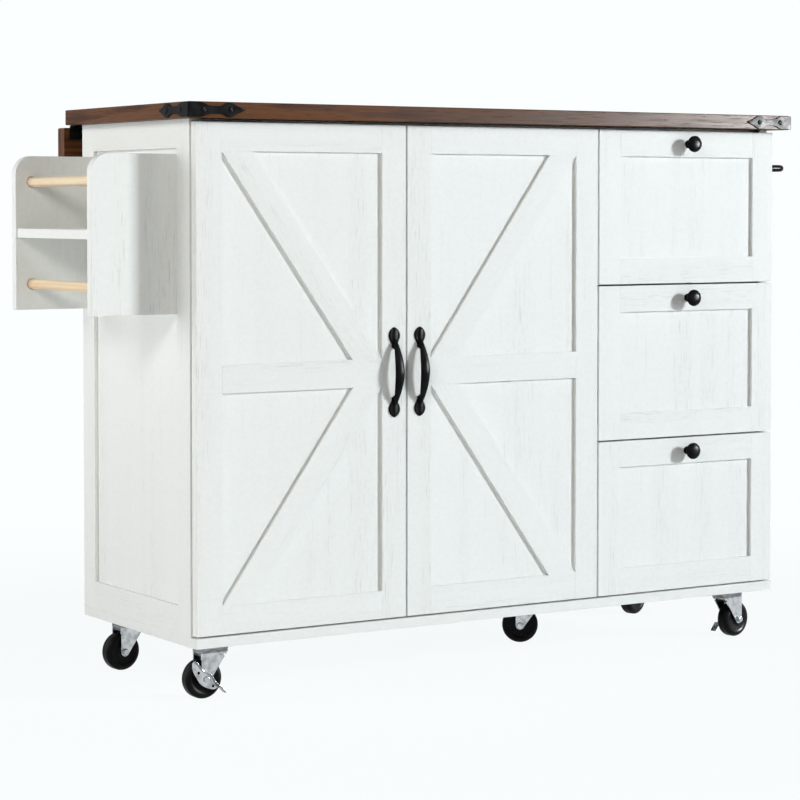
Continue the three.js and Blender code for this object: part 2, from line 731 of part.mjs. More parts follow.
// One wing of a corner bracket, drawn from the corner outwards: a broad strap, a neck and a pointed tip.
function bracketWingShape() {
  const h = bracketHeight / 2;
  const neck = bracketNeck / 2;
  const tipStart = bracketWing - bracketTip;
  const waist = (bracketShoulder + tipStart) / 2;
  const shape = new THREE.Shape();
  shape.moveTo(-bracketThickness, -h);
  shape.lineTo(bracketShoulder, -h);
  shape.quadraticCurveTo(bracketShoulder + 4, -neck, waist, -neck);
  shape.quadraticCurveTo(tipStart - 6, -neck, tipStart, -h);
  shape.lineTo(bracketWing, 0);
  shape.lineTo(tipStart, h);
  shape.quadraticCurveTo(tipStart - 6, neck, waist, neck);
  shape.quadraticCurveTo(bracketShoulder + 4, neck, bracketShoulder, h);
  shape.lineTo(-bracketThickness, h);
  return shape;
}

// Bracket about the worktop's front left corner. One wing lies on the front edge, and its copy, with X
// and Y changed over, on the end.
function cornerBracket() {
  const plate = prism(bracketWingShape(), "y", -bracketThickness, 0, 4);
  const screws = [bracketScrewInset, bracketWing - bracketTip + 3].map((x) => {
    const length = bracketScrewHeight + 1;
    const y = -bracketThickness - bracketScrewHeight + length / 2;
    return bar(0.6 * bracketScrewRadius, "y", [x, y, 0], length, 10, bracketScrewRadius);
  });
  const frontWing = [plate, ...screws];
  const changeOver = new THREE.Matrix4().set(0, 1, 0, 0, 1, 0, 0, 0, 0, 0, 1, 0, 0, 0, 0, 1);
  return join(frontWing, frontWing.map((piece) => piece.clone().applyMatrix4(changeOver)));
}

function buildBrackets() {
  const corner = [-worktopEndOverhang, -worktopFrontOverhang, (cabinetTop + overallTop) / 2];
  place("corner_bracket_left", cornerBracket(), materials.iron).position.set(...corner);
  place("corner_bracket_right", cornerBracket(), materials.iron, mirrored).position.set(...corner);
}

// ---------------------------------------------------------------------------------------- spice rack

const rackFrontY = carcassFront + sideStileWidth; // the boards stand in the recess of the side frame
const rackRearY = cabinetBack - sideStileWidth - rackBoardThickness;
const dowelX = -rackReach + dowelFromEdge;
const dowelHeights = { lower: rackBottom + dowelFromEnd, upper: rackTop - dowelFromEnd };

function rackBoard(y0) {
  const r = rackCornerRadius;
  const shape = new THREE.Shape();
  shape.moveTo(stripThickness, rackBottom);
  shape.lineTo(stripThickness, rackTop);
  shape.lineTo(-rackReach + r, rackTop);
  shape.absarc(-rackReach + r, rackTop - r, r, Math.PI / 2, Math.PI);
  shape.lineTo(-rackReach, rackBottom);
  return prism(shape, "y", y0, y0 + rackBoardThickness, 8);
}

// Blind hole for a dowel, from the board's inner face.
function dowelHole(innerY, inward, z) {
  const middle = innerY - inward * (dowelHoleDepth / 2 - 0.5);
  return bar(dowelRadius + dowelPlay, "y", [dowelX, middle, z], dowelHoleDepth + 1, 20);
}

function buildRack() {
  const frontInner = rackFrontY + rackBoardThickness;
  const heights = Object.values(dowelHeights);
  const frontBoard = cut(rackBoard(rackFrontY), heights.map((z) => dowelHole(frontInner, 1, z)));
  const rearBoard = cut(rackBoard(rackRearY), heights.map((z) => dowelHole(rackRearY, -1, z)));
  place("rack_front_board", frontBoard, materials.whitewash);
  place("rack_rear_board", rearBoard, materials.whitewash);

  const shelfZ = (rackBottom + rackTop - rackShelfThickness) / 2;
  const shelfOuter = -rackReach + rackShelfInset;
  const shelf = box([shelfOuter, frontInner, shelfZ], [stripThickness, rackRearY, shelfZ + rackShelfThickness]);
  place("rack_shelf", shelf, materials.whitewash);

  const dowelLength = rackRearY - frontInner + 2 * (dowelHoleDepth - clearance);
  const middleY = (rackRearY + frontInner) / 2;
  for (const [level, z] of Object.entries(dowelHeights)) {
    const dowel = bar(dowelRadius, "y", [0, 0, 0], dowelLength, 18);
    place(`rack_dowel_${level}`, dowel, materials.dowel).position.set(dowelX, middleY, z);
  }
}

// ----------------------------------------------------------------------------------------- towel rail

// A path of several curves, each with its own number of steps, so that bends are finer than straights.
class SteppedPath extends THREE.Curve {
  constructor(legs) {
    super();
    this.legs = legs;
    this.steps = legs.reduce((sum, leg) => sum + leg.steps, 0);
  }

  getPoint(t, target = new THREE.Vector3()) {
    let step = t * this.steps;
    let current = this.legs[0];
    for (const leg of this.legs.slice(1)) {
      if (step <= current.steps) break;
      step -= current.steps;
      current = leg;
    }
    return current.curve.getPoint(step / current.steps, target);
  }

  getPointAt(u, target) {
    return this.getPoint(u, target);
  }

  getTangentAt(u, target) {
    return this.getTangent(u, target);
  }
}

function buildTowelRail() {
  const x0 = cabinetWidth + railRoseThickness / 2;
  const x1 = cabinetWidth + railProjection - railTubeRadius;
  const y0 = carcassFront + sideStileWidth / 2; // legs stand on the middles of the side frame's stiles
  const y1 = cabinetBack - sideStileWidth / 2;
  const r = railBendRadius;
  const point = (x, y) => new THREE.Vector3(x, y, towelRailZ);
  const straight = (...ends) => ({ curve: new THREE.LineCurve3(...ends), steps: 1 });
  const bend = (...points) => ({ curve: new THREE.QuadraticBezierCurve3(...points), steps: 5 });
  const path = new SteppedPath([
    straight(point(x0, y0), point(x1 - r, y0)),
    bend(point(x1 - r, y0), point(x1, y0), point(x1, y0 + r)),
    straight(point(x1, y0 + r), point(x1, y1 - r)),
    bend(point(x1, y1 - r), point(x1, y1), point(x1 - r, y1)),
    straight(point(x1 - r, y1), point(x0, y1)),
  ]);
  const section = new THREE.Shape().absarc(0, 0, railTubeRadius, 0, 2 * Math.PI);
  const tube = new THREE.ExtrudeGeometry(section, { extrudePath: path, steps: path.steps, curveSegments: 6 });
  const roses = [y0, y1].map((y) => {
    const middle = [cabinetWidth + railRoseThickness / 2, y, towelRailZ];
    return bar(railRoseRadius, "x", middle, railRoseThickness, 16, 0.8 * railRoseRadius);
  });
  place("towel_rail", join(tube, roses), materials.iron);
}

// ------------------------------------------------------------------------------------------- casters

const casterRearY = cabinetBack - casterInset;

// Where each caster's swivel axis stands, and the direction in which its wheel trails, in degrees
// anticlockwise from +X seen from above.
const casterPlaces = [
  { name: "front_left", x: casterInset, y: casterInset, heading: 180, hasBrake: true },
  { name: "front_right", x: cabinetWidth - casterInset, y: casterInset, heading: 10, hasBrake: true },
  { name: "rear_left", x: casterInset, y: casterRearY, heading: 185, hasBrake: false },
  { name: "rear_right", x: cabinetWidth - casterInset, y: casterRearY, heading: 20, hasBrake: false },
  { name: "middle", x: partitionX, y: cabinetBack / 2, heading: 145, hasBrake: false },
];

const forkTop = casterHeight - casterPlateThickness - clearance;
const crownTop = forkTop - casterRaceHeight;
const forkInnerHalf = wheelWidth / 2 + forkWheelGap;
const forkOuterHalf = forkInnerHalf + forkThickness;
const forkNose = casterTrail + forkLegEndRadius - forkLegTop; // leading edge of the legs

// Caster fork in its own frame: the swivel axis is Z, and the wheel trails along +X.
function casterFork() {
  const r = forkLegEndRadius;
  const leg = new THREE.Shape();
  leg.moveTo(casterTrail + r, crownTop);
  leg.lineTo(forkNose, crownTop);
  leg.lineTo(forkNose, crownTop - 9);
  leg.absarc(casterTrail, axleZ, r, (7 / 6) * Math.PI, 2 * Math.PI);
  const legs = [
    prism(leg, "y", -forkOuterHalf, -forkInnerHalf, 3),
    prism(leg, "y", forkInnerHalf, forkOuterHalf, 3),
  ];
  const crownBottom = crownTop - forkThickness;
  const crown = box([forkNose, -forkOuterHalf, crownBottom], [casterTrail + r, forkOuterHalf, crownTop]);
  const raceMiddle = [0, 0, (crownTop + forkTop) / 2 - 0.5];
  const race = bar(casterRaceRadius, "z", raceMiddle, casterRaceHeight + 1, 16, 0.85 * casterRaceRadius);
  const axleEnd = forkOuterHalf + brakeThickness + 2 * clearance;
  const axle = bar(axleRadius, "y", [casterTrail, 0, axleZ], 2 * axleEnd + 1, 10);
  const heads = [-1, 1].map((side) => {
    const middle = [casterTrail, side * (axleEnd + axleHeadHeight / 2), axleZ];
    return bar(axleHeadRadius, "y", middle, axleHeadHeight, 6);
  });
  return join(legs, crown, race, axle, heads);
}

// Wheel about its own axle, with rounded tread corners, dished sides and a bore.
function casterWheel() {
  const half = wheelWidth / 2;
  const bore = axleRadius + play;
  const side = [
    [bore, half],
    [wheelHubRadius, half],
    [wheelHubRadius + wheelDish, half - wheelDish],
    [wheelRadius - wheelShoulder, half - 1],
    [wheelRadius, half - wheelShoulder],
  ];
  const otherSide = side.map(([radius, y]) => [radius, -y]).reverse();
  const wheel = turned([...side, ...otherSide, side[0]], wheelSides);
  return wheel.rotateY(Math.PI / wheelSides);
}

// Brake lever about the axle: a plate beside the fork's leg, with a pedal at its leading end.
function brakeLever() {
  const side = forkOuterHalf + clearance;
  const tail = new THREE.Vector2(brakeTailReach, brakeTailRise);
  const nose = new THREE.Vector2(-brakeNoseReach, -brakeNoseDrop);
  const lean = Math.atan2(tail.y - nose.y, tail.x - nose.x);
  const shape = new THREE.Shape();
  shape.absarc(tail.x, tail.y, brakeEndRadius, lean - Math.PI / 2, lean + Math.PI / 2);
  shape.absarc(nose.x, nose.y, brakeEndRadius - 1, lean + Math.PI / 2, lean + 1.5 * Math.PI);
  const plate = prism(shape, "y", side, side + brakeThickness, 4);
  const pedal = box(
    [nose.x - brakePedalLength, side, nose.y - 4],
    [nose.x - brakeEndRadius / 2, side + brakePedalDepth, nose.y - 4 + brakePedalThickness],
  );
  return cut(join(plate, pedal), bar(axleRadius + play, "y", [0, side, 0], 4 * brakeThickness + 2, 12));
}

function buildCasters() {
  for (const { name, x, y, heading, hasBrake } of casterPlaces) {
    const caster = groupAt(x, y, 0);
    caster.rotation.z = THREE.MathUtils.degToRad(heading);
    place(`caster_fork_${name}`, casterFork(), materials.steel, caster);
    place(`caster_wheel_${name}`, casterWheel(), materials.rubber, caster).position.set(casterTrail, 0, axleZ);
    if (!hasBrake) continue;
    place(`brake_lever_${name}`, brakeLever(), materials.steel, caster).position.set(casterTrail, 0, axleZ);
  }
}

// ------------------------------------------------------------------------------------------ assembly

buildCarcass();
buildTop();
buildStays();
buildDoors();
buildDrawers();
buildBrackets();
buildRack();
buildTowelRail();
buildCasters();

// The origin is the middle of the whole object's footprint, on the floor.
const reachLeft = -rackReach;
const reachRight = cabinetWidth + railProjection;
const bracketReach = worktopFrontOverhang + bracketThickness + bracketScrewHeight;
const reachFront = -Math.max(knobDepth, handleProjection, bracketReach);
const reachBack = leafInnerY + worktopThickness;
island.position.set(-(reachLeft + reachRight) / 2, -(reachFront + reachBack) / 2, 0);

export default island;
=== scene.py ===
"""A drop leaf kitchen island on casters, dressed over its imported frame, in a plain studio.

The classes hold their sizes in millimetres in the cabinet's own frame: the origin is on the floor
under the cabinet's left front corner, +X runs along the worktop to the towel rail, +Y to the drop
leaf at the back and +Z up. Every mesh is turned into the frame's metres as it is made.
"""

import logging
import math
import random
from collections.abc import Iterable, Sequence
from dataclasses import dataclass, field
from enum import Enum

import bmesh
import bpy
from mathutils import Matrix, Vector

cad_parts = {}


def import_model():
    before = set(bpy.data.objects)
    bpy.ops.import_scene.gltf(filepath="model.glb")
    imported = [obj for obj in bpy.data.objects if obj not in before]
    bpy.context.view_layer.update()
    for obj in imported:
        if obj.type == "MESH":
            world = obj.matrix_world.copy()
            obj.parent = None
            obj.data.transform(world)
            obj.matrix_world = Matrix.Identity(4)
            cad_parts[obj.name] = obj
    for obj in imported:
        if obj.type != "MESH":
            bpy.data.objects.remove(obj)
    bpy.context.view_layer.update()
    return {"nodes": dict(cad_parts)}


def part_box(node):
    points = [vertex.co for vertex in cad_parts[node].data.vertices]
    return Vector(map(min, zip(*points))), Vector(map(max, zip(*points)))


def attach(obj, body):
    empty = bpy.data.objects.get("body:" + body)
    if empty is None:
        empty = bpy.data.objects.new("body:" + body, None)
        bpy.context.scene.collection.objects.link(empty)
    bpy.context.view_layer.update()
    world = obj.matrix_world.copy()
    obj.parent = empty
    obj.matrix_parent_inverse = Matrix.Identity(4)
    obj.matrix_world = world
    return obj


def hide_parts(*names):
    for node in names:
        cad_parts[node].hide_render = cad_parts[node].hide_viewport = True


Point = tuple[float, float, float]
Flat = tuple[float, float]
Colour = tuple[float, float, float]
Solid = bmesh.types.BMesh
Socket = bpy.types.NodeSocket

log = logging.getLogger("island")

MM = 0.001
GRAIN = "grain"  # corner attribute: the place along, across and through the board, in metres
BOARD = "board"  # corner attribute: the board's tone, then 1 on its narrow sides and cut ends

X = Vector((1, 0, 0))
Y = Vector((0, 1, 0))
Z = Vector((0, 0, 1))


# ---- node trees


class Graph:
    """Adds nodes to one shader tree and joins them.

    Args:
        tree: The node tree of a material, a world or a group.
    """

    def __init__(self, tree: bpy.types.NodeTree) -> None:
        self.tree = tree

    def put(self, socket: Socket, value: object) -> None:
        """Joins another node's output to the socket, or sets the socket's own value."""
        if isinstance(value, Socket):
            self.tree.links.new(value, socket)
        elif value is not None:
            socket.default_value = value

    def add(self, kind: str, inputs: dict | None = None, **settings: object) -> bpy.types.Node:
        """Adds a node.

        Args:
            kind: The node's type without "ShaderNode".
            inputs: Values or outputs of other nodes, by the name or the number of the socket.
            settings: The node's own settings.

        Returns:
            The new node.
        """
        node = self.tree.nodes.new(kind if kind.startswith("Node") else "ShaderNode" + kind)
        for name, setting in settings.items():
            setattr(node, name, setting)
        for key, value in (inputs or {}).items():
            self.put(node.inputs[key], value)
        return node

    def math(self, operation: str, *values: object) -> Socket:
        """Returns the output of a Math node with these values."""
        return self.add("Math", dict(enumerate(values)), operation=operation).outputs[0]

    def vector(self, operation: str, *values: object) -> Socket:
        """Returns the vector output of a Vector Math node with these values."""
        return self.add("VectorMath", dict(enumerate(values)), operation=operation).outputs[0]

    def noise(self, place: object, scale: object, detail: float, roughness: float = 0.5) -> Socket:
        """Returns the factor of a noise texture."""
        inputs = {"Vector": place, "Scale": scale, "Detail": detail, "Roughness": roughness}
        return self.add("TexNoise", inputs).outputs[0]

    def between(
        self, value: object, low: float, high: float, to_low: float = 0.0, to_high: float = 1.0
    ) -> Socket:
        """Returns the value taken smoothly from low..high to to_low..to_high."""
        inputs = {0: value, 1: low, 2: high, 3: to_low, 4: to_high}
        return self.add("MapRange", inputs, interpolation_type="SMOOTHSTEP").outputs[0]

    def mix(self, factor: object, first: object, second: object) -> Socket:
        """Returns two colours mixed, each an output or three numbers."""
        node = self.add("Mix", data_type="RGBA")
        self.put(node.inputs[0], factor)
        for socket, colour in ((node.inputs[6], first), (node.inputs[7], second)):
            self.put(socket, (*colour, 1.0) if isinstance(colour, tuple) else colour)
        return node.outputs[2]


def new_group(
    name: str, inputs: dict[str, str], outputs: Sequence[str]
) -> tuple[bpy.types.NodeTree, Graph, bpy.types.Node]:
    """Makes an empty shader node group.

    Args:
        name: The group's name.
        inputs: Its inputs, each "Vector" or "Float".
        outputs: The names of its outputs, all floats.

    Returns:
        The group, a graph to fill it with, and its input node.
    """
    tree = bpy.data.node_groups.new(name, "ShaderNodeTree")
    for label, kind in inputs.items():
        tree.interface.new_socket(name=label, in_out="INPUT", socket_type=f"NodeSocket{kind}")
    for label in outputs:
        tree.interface.new_socket(name=label, in_out="OUTPUT", socket_type="NodeSocketFloat")
    graph = Graph(tree)
    return tree, graph, graph.add("NodeGroupInput")


class Effects:
    """The shader node groups that several finishes share, each built once."""

    def __init__(self) -> None:
        self.timber = self._timber()
        self.patina = self._patina()

    @staticmethod
    def _timber() -> bpy.types.NodeTree:
        """Wood grain that runs along the first coordinate.

        Returns:
            A group with the outputs Streaks (fine long lines), Pores (short dark lines), Bands
            (broad soft tone) and Figure (the flowing lines of a sawn face).
        """
        inputs = {"Grain": "Vector", "Stretch": "Float", "Fineness": "Float"}
        tree, graph, given = new_group("timber_grain", inputs, ("Streaks", "Pores", "Bands", "Figure"))
        squeeze = graph.math("DIVIDE", 1.0, given.outputs["Stretch"])
        scale = graph.add("CombineXYZ", {0: squeeze, 1: 1.0, 2: 1.0}).outputs[0]
        drawn_out = graph.vector("MULTIPLY", given.outputs["Grain"], scale)
        wander = graph.math("SUBTRACT", graph.noise(drawn_out, 9.0, 1.0), 0.5)
        sideways = graph.add("CombineXYZ", {1: graph.math("MULTIPLY", wander, 0.02)}).outputs[0]
        line = graph.vector("ADD", drawn_out, sideways)
        fineness = given.outputs["Fineness"]
        finest, coarse, flowing = (graph.math("MULTIPLY", fineness, by) for by in (3.4, 0.14, 0.16))
        figure = {"Vector": line, "Scale": flowing, "Distortion": 7.0}
        figure |= {"Detail": 2.5, "Detail Scale": 0.9, "Detail Roughness": 0.55}
        wave = graph.add("TexWave", figure, bands_direction="Y", wave_profile="SIN")
        outputs = {
            "Streaks": graph.noise(line, fineness, 4.0, 0.62),
            "Pores": graph.between(graph.noise(line, finest, 2.0, 0.55), 0.56, 0.7),
            "Bands": graph.noise(drawn_out, coarse, 2.0),
            "Figure": wave.outputs[1],
        }
        graph.add("NodeGroupOutput", outputs)
        return tree

    @staticmethod
    def _patina() -> bpy.types.NodeTree:
        """Handling marks of paint, metal and rubber.

        Returns:
            A group with the outputs Clouds (soft patches), Specks (fine grit) and Scratches.
        """
        inputs = {"Place": "Vector", "Scale": "Float"}
        tree, graph, given = new_group("handling_marks", inputs, ("Clouds", "Specks", "Scratches"))
        place, scale = given.outputs["Place"], given.outputs["Scale"]
        turn = {"Vector": place, "Angle": 0.7, "Axis": (0.3, 0.5, 0.8)}
        thin = graph.vector("MULTIPLY", graph.add("VectorRotate", turn).outputs[0], (0.06, 1.0, 1.0))
        gritty, scratchy = (graph.math("MULTIPLY", scale, by) for by in (30.0, 14.0))
        outputs = {
            "Clouds": graph.noise(place, scale, 3.0),
            "Specks": graph.noise(place, gritty, 2.0, 0.6),
            "Scratches": graph.between(graph.noise(thin, scratchy, 2.0), 0.62, 0.7),
        }
        graph.add("NodeGroupOutput", outputs)
        return tree


# ---- finishes


class Source(Enum):
    """Where a finish reads its place on the surface."""

    BOARDS = "the grain that each board carries"
    OBJECT = "the piece's own coordinates"


class Surface:
    """A new material that a finish fills in.

    Args:
        name: The material's name.
        effects: The shared node groups.
        source: Where the finish reads its place.
    """

    def __init__(self, name: str, effects: Effects, source: Source) -> None:
        material = bpy.data.materials.new(name)
        material.use_nodes = True
        self.effects = effects
        self.graph = Graph(material.node_tree)
        self.shader = material.node_tree.nodes["Principled BSDF"]
        if source is Source.BOARDS:
            self.place = self.graph.add("Attribute", attribute_name=GRAIN).outputs["Vector"]
        else:
            self.place = self.graph.add("TexCoord").outputs["Object"]

    def effect(self, tree: bpy.types.NodeTree, **inputs: object) -> dict[str, Socket]:
        """Returns the outputs of a shared group that is placed with these inputs."""
        node = self.graph.add("Group")
        node.node_tree = tree
        for name, value in inputs.items():
            self.graph.put(node.inputs[name], value)
        return {socket.name: socket for socket in node.outputs}

    def grain(self, stretch: float, fineness: float) -> dict[str, Socket]:
        """Returns the outputs of the wood grain, drawn out and as fine as given."""
        return self.effect(self.effects.timber, Grain=self.place, Stretch=stretch, Fineness=fineness)

    def marks(self, scale: float) -> dict[str, Socket]:
        """Returns the outputs of the handling marks at that scale."""
        return self.effect(self.effects.patina, Place=self.place, Scale=scale)

    def board(self) -> tuple[Socket, Socket]:
        """Returns the board's tone, and a mask of its narrow sides and cut ends."""
        carried = self.graph.add("Attribute", attribute_name=BOARD).outputs["Vector"]
        parts = self.graph.add("SeparateXYZ", {0: carried}).outputs
        return parts[0], parts[1]

    def colour(self, value: Socket) -> None:
        """Gives the surface its colour."""
        self.graph.put(self.shader.inputs["Base Color"], value)

    def shine(self, value: Socket, low: float, high: float, least: float, most: float) -> None:
        """Takes the roughness from least to most as a value goes from low to high."""
        roughness = self.graph.between(value, low, high, least, most)
        self.graph.put(self.shader.inputs["Roughness"], roughness)

    def relief(self, height: Socket, distance: float, strength: float) -> None:
        """Raises the surface by a height that reaches the distance, in metres, at 1."""
        bump = self.graph.add("Bump", {"Height": height, "Distance": distance, "Strength": strength})
        self.graph.put(self.shader.inputs["Normal"], bump.outputs[0])


@dataclass(frozen=True)
class Finish:
    """What all finishes share.

    Attributes:
        slot: The record's material slot.
        roughness: The roughness at its middle.
        specular: The strength of the plain reflection.
        variant: What its material's name adds to the slot.
    """

    slot: str
    roughness: float = 0.5
    specular: float = 0.5
    variant: str = ""

    def material(self, effects: Effects, source: Source) -> bpy.types.Material:
        """Builds the finish once for each source.

        Args:
            effects: The shared node groups.
            source: Where the finish reads its place on the surface.

        Returns:
            The material.
        """
        name = f"{self.slot}{self.variant}_{source.name.lower()}"
        if name not in bpy.data.materials:
            surface = Surface(name, effects, source)
            surface.shader.inputs["Roughness"].default_value = self.roughness
            surface.shader.inputs["Specular IOR Level"].default_value = self.specular
            self.dress(surface)
        return bpy.data.materials[name]

    def dress(self, surface: Surface) -> None:
        """Joins the finish's own nodes to the surface."""
        raise NotImplementedError


@dataclass(frozen=True)
class Whitewash(Finish):
    """White paint thinned over an open grain, so that the pores show as fine grey lines."""

    pale: Colour = (0.895, 0.905, 0.89)
    worn: Colour = (0.835, 0.84, 0.815)
    line: Colour = (0.55, 0.54, 0.50)

    def dress(self, surface: Surface) -> None:
        """Joins the paint's tone, its pore lines and their shallow relief to the surface."""
        graph, wood = surface.graph, surface.grain(22.0, 150.0)
        board_tone = graph.math("MULTIPLY", surface.board()[0], 0.2)
        mottle = graph.between(surface.marks(160.0)["Clouds"], 0.4, 0.65, 0.0, 0.3)
        bands = graph.between(wood["Bands"], 0.4, 0.75, 0.0, 0.3)
        wear = graph.math("ADD", bands, graph.math("ADD", board_tone, mottle))
        streaks = graph.between(wood["Streaks"], 0.58, 0.78, 0.0, 0.13)
        open_grain = graph.between(wood["Bands"], 0.5, 0.66, 0.03, 0.4)
        pores = graph.math("MULTIPLY", wood["Pores"], open_grain)
        paint = graph.mix(streaks, graph.mix(wear, self.pale, self.worn), self.line)
        surface.colour(graph.mix(pores, paint, self.line))
        surface.shine(wood["Streaks"], 0.3, 0.7, self.roughness - 0.06, self.roughness + 0.1)
        surface.relief(graph.math("ADD", pores, streaks), 0.0002, 0.5)


@dataclass(frozen=True)
class Walnut(Finish):
    """Dark walnut with flowing lines under a satin lacquer."""

    dark: Colour = (0.042, 0.0145, 0.006)
    brown: Colour = (0.106, 0.038, 0.014)
    light: Colour = (0.172, 0.069, 0.027)

    def dress(self, surface: Surface) -> None:
        """Joins three tones of wood, its pores and a satin lacquer to the surface."""
        graph, wood = surface.graph, surface.grain(16.0, 110.0)
        figure = graph.math("MULTIPLY", graph.between(wood["Figure"], 0.2, 0.95), 0.55)
        board_tone = graph.math("MULTIPLY", graph.math("SUBTRACT", surface.board()[0], 0.5), 0.35)
        tone = graph.mix(graph.math("ADD", figure, board_tone), self.brown, self.light)
        for darker in (
            graph.between(wood["Streaks"], 0.44, 0.68, 0.0, 0.85),
            graph.between(wood["Bands"], 0.5, 0.75, 0.0, 0.5),
            graph.math("MULTIPLY", wood["Pores"], 0.6),
        ):
            tone = graph.mix(darker, tone, self.dark)
        surface.colour(tone)
        surface.shine(wood["Streaks"], 0.3, 0.7, self.roughness - 0.05, self.roughness + 0.08)
        surface.relief(graph.math("MULTIPLY", wood["Pores"], -1.0), 0.00025, 0.5)


@dataclass(frozen=True)
class Pine(Finish):
    """Clear lacquered pine with honey coloured growth lines."""

    pale: Colour = (0.90, 0.72, 0.50)
    line: Colour = (0.74, 0.47, 0.23)

    def dress(self, surface: Surface) -> None:
        """Joins the growth lines and a faint grain to the surface."""
        graph, wood = surface.graph, surface.grain(18.0, 240.0)
        tone = graph.mix(graph.between(wood["Figure"], 0.5, 1.0, 0.0, 0.55), self.pale, self.line)
        tone = graph.mix(graph.between(wood["Streaks"], 0.5, 0.7, 0.0, 0.35), tone, self.line)
        surface.colour(tone)
        surface.relief(wood["Streaks"], 0.0002, 0.4)


@dataclass(frozen=True)
class Birch(Finish):
    """Sealed birch plywood, whose cut edges show their plies."""

    pale: Colour = (0.78, 0.62, 0.43)
    line: Colour = (0.60, 0.42, 0.25)
    glue: Colour = (0.33, 0.20, 0.10)
    ply: float = 1.7 * MM  # thickness of one ply

    def dress(self, surface: Surface) -> None:
        """Joins a quiet grain to the faces, and stripes of plies to the cut edges."""
        graph, wood = surface.graph, surface.grain(14.0, 90.0)
        face = graph.mix(graph.between(wood["Figure"], 0.3, 1.0, 0.0, 0.4), self.pale, self.line)
        face = graph.mix(graph.between(wood["Streaks"], 0.5, 0.7, 0.0, 0.3), face, self.line)
        through = graph.add("SeparateXYZ", {0: surface.place}).outputs[2]
        wave = graph.math("SINE", graph.math("MULTIPLY", through, math.pi / self.ply))
        plies = graph.mix(graph.between(wave, -0.2, 0.2), face, self.line)
        glue_lines = graph.between(graph.math("ABSOLUTE", wave), 0.25, 0.05)
        plies = graph.mix(glue_lines, plies, self.glue)
        surface.colour(graph.mix(surface.board()[1], face, plies))
        surface.relief(wood["Streaks"], 0.0002, 0.4)


@dataclass(frozen=True)
class Enamel(Finish):
    """Black baked paint on iron, a little cloudy in its shine."""

    black: Colour = (0.0045, 0.0045, 0.0048)
    dust: Colour = (0.0085, 0.0085, 0.0088)

    def dress(self, surface: Surface) -> None:
        """Joins cloudy shine and a fine orange peel to the surface."""
        marks = surface.marks(60.0)
        clouds = surface.graph.between(marks["Clouds"], 0.35, 0.7)
        surface.colour(surface.graph.mix(clouds, self.black, self.dust))
        surface.shine(marks["Clouds"], 0.3, 0.7, self.roughness - 0.05, self.roughness + 0.1)
        surface.relief(marks["Specks"], 0.00012, 0.5)


@dataclass(frozen=True)
class Zinc(Finish):
    """Bright zinc plating over pressed steel."""

    bright: Colour = (0.56, 0.575, 0.59)
    dull: Colour = (0.32, 0.335, 0.35)
    metallic: float = 1.0

    def dress(self, surface: Surface) -> None:
        """Joins cloudy plating and rolling scratches to the surface."""
        graph, marks = surface.graph, surface.marks(90.0)
        surface.shader.inputs["Metallic"].default_value = self.metallic
        plating = graph.mix(graph.between(marks["Clouds"], 0.35, 0.7), self.bright, self.dull)
        scratches = graph.math("MULTIPLY", marks["Scratches"], 0.35)
        surface.colour(graph.mix(scratches, plating, self.dull))
        surface.shine(marks["Clouds"], 0.3, 0.7, self.roughness - 0.04, self.roughness + 0.05)
        surface.relief(marks["Specks"], 0.00004, 0.4)


@dataclass(frozen=True)
class Rubber(Finish):
    """Black caster tyre, polished by its mould and lightly dusted."""

    black: Colour = (0.003, 0.003, 0.0032)
    dust: Colour = (0.009, 0.009, 0.009)

    def dress(self, surface: Surface) -> None:
        """Joins a thin uneven dust and faint scuffs to the surface."""
        marks = surface.marks(45.0)
        dusty = surface.graph.between(marks["Clouds"], 0.45, 0.75, 0.0, 0.8)
        surface.colour(surface.graph.mix(dusty, self.black, self.dust))
        surface.shine(marks["Clouds"], 0.35, 0.75, self.roughness - 0.05, self.roughness + 0.15)
        surface.relief(marks["Specks"], 0.00008, 0.4)


# Darker zinc plating: painted shade for the caster lips and folds that sit in shadow.
SHADED_PLATING = {"bright": (0.30, 0.31, 0.32), "dull": (0.15, 0.155, 0.16)}


@dataclass(frozen=True)
class Finishes:
    """The island's finishes."""

    whitewash: Finish = Whitewash("whitewash", 0.5, 0.03)
    walnut: Finish = Walnut("walnut", 0.33, 0.06)
    pine: Finish = Pine("dowel", 0.38, 0.4)
    birch: Finish = Birch("box_wood", 0.5, 0.35)
    enamel: Finish = Enamel("iron", 0.29, 0.04)
    zinc: Finish = Zinc("steel", 0.17)
    # The darker plating below is painted shade on the same steel, not a different metal.
    dark_zinc: Finish = Zinc("steel", 0.22, variant="_dark", **SHADED_PLATING)
    rubber: Finish = Rubber("rubber", 0.36, 0.07)


# ---- solids


SHARP = math.radians(35)  # the angle from which an edge is eased
LEAST = 1e-3  # the radius of a turned solid where its profile meets the axis
MERGE = 1e-4  # how near two points of a loft are to become one


def other_axes(axis: Vector) -> tuple[Vector, Vector]:
    """Returns two unit vectors that stand square to the axis and to each other."""
    helper = X if abs(axis.x) < 0.9 else Z
    first = axis.cross(helper).normalized()
    return first, axis.cross(first).normalized()


def rounded(solid: Solid, radius: float, segments: int = 2) -> Solid:
    """Bevels the solid's sharp edges.

    Args:
        solid: The solid, which is changed.
        radius: The width of the bevel, in the solid's own units.
        segments: Steps in the bevel.

    Returns:
        The same solid.
    """
    if radius <= 0:
        return solid
    sharp = [e for e in solid.edges if e.calc_face_angle(0.0) > SHARP]
    bmesh.ops.bevel(
        solid, geom=sharp, offset=radius, offset_type="OFFSET", segments=segments, profile=0.5,
        affect="EDGES", clamp_overlap=True,
    )
    return solid


def block(low: Sequence[float], high: Sequence[float], bevel: float = 0.6, segments: int = 2) -> Solid:
    """Returns a board between two corners, its edges eased."""
    solid = bmesh.new()
    low, high = Vector(low), Vector(high)
    middle = Matrix.Translation((low + high) / 2) @ Matrix.Diagonal((*(high - low), 1.0))
    bmesh.ops.create_cube(solid, size=1.0, matrix=middle)
    return rounded(solid, bevel, segments)


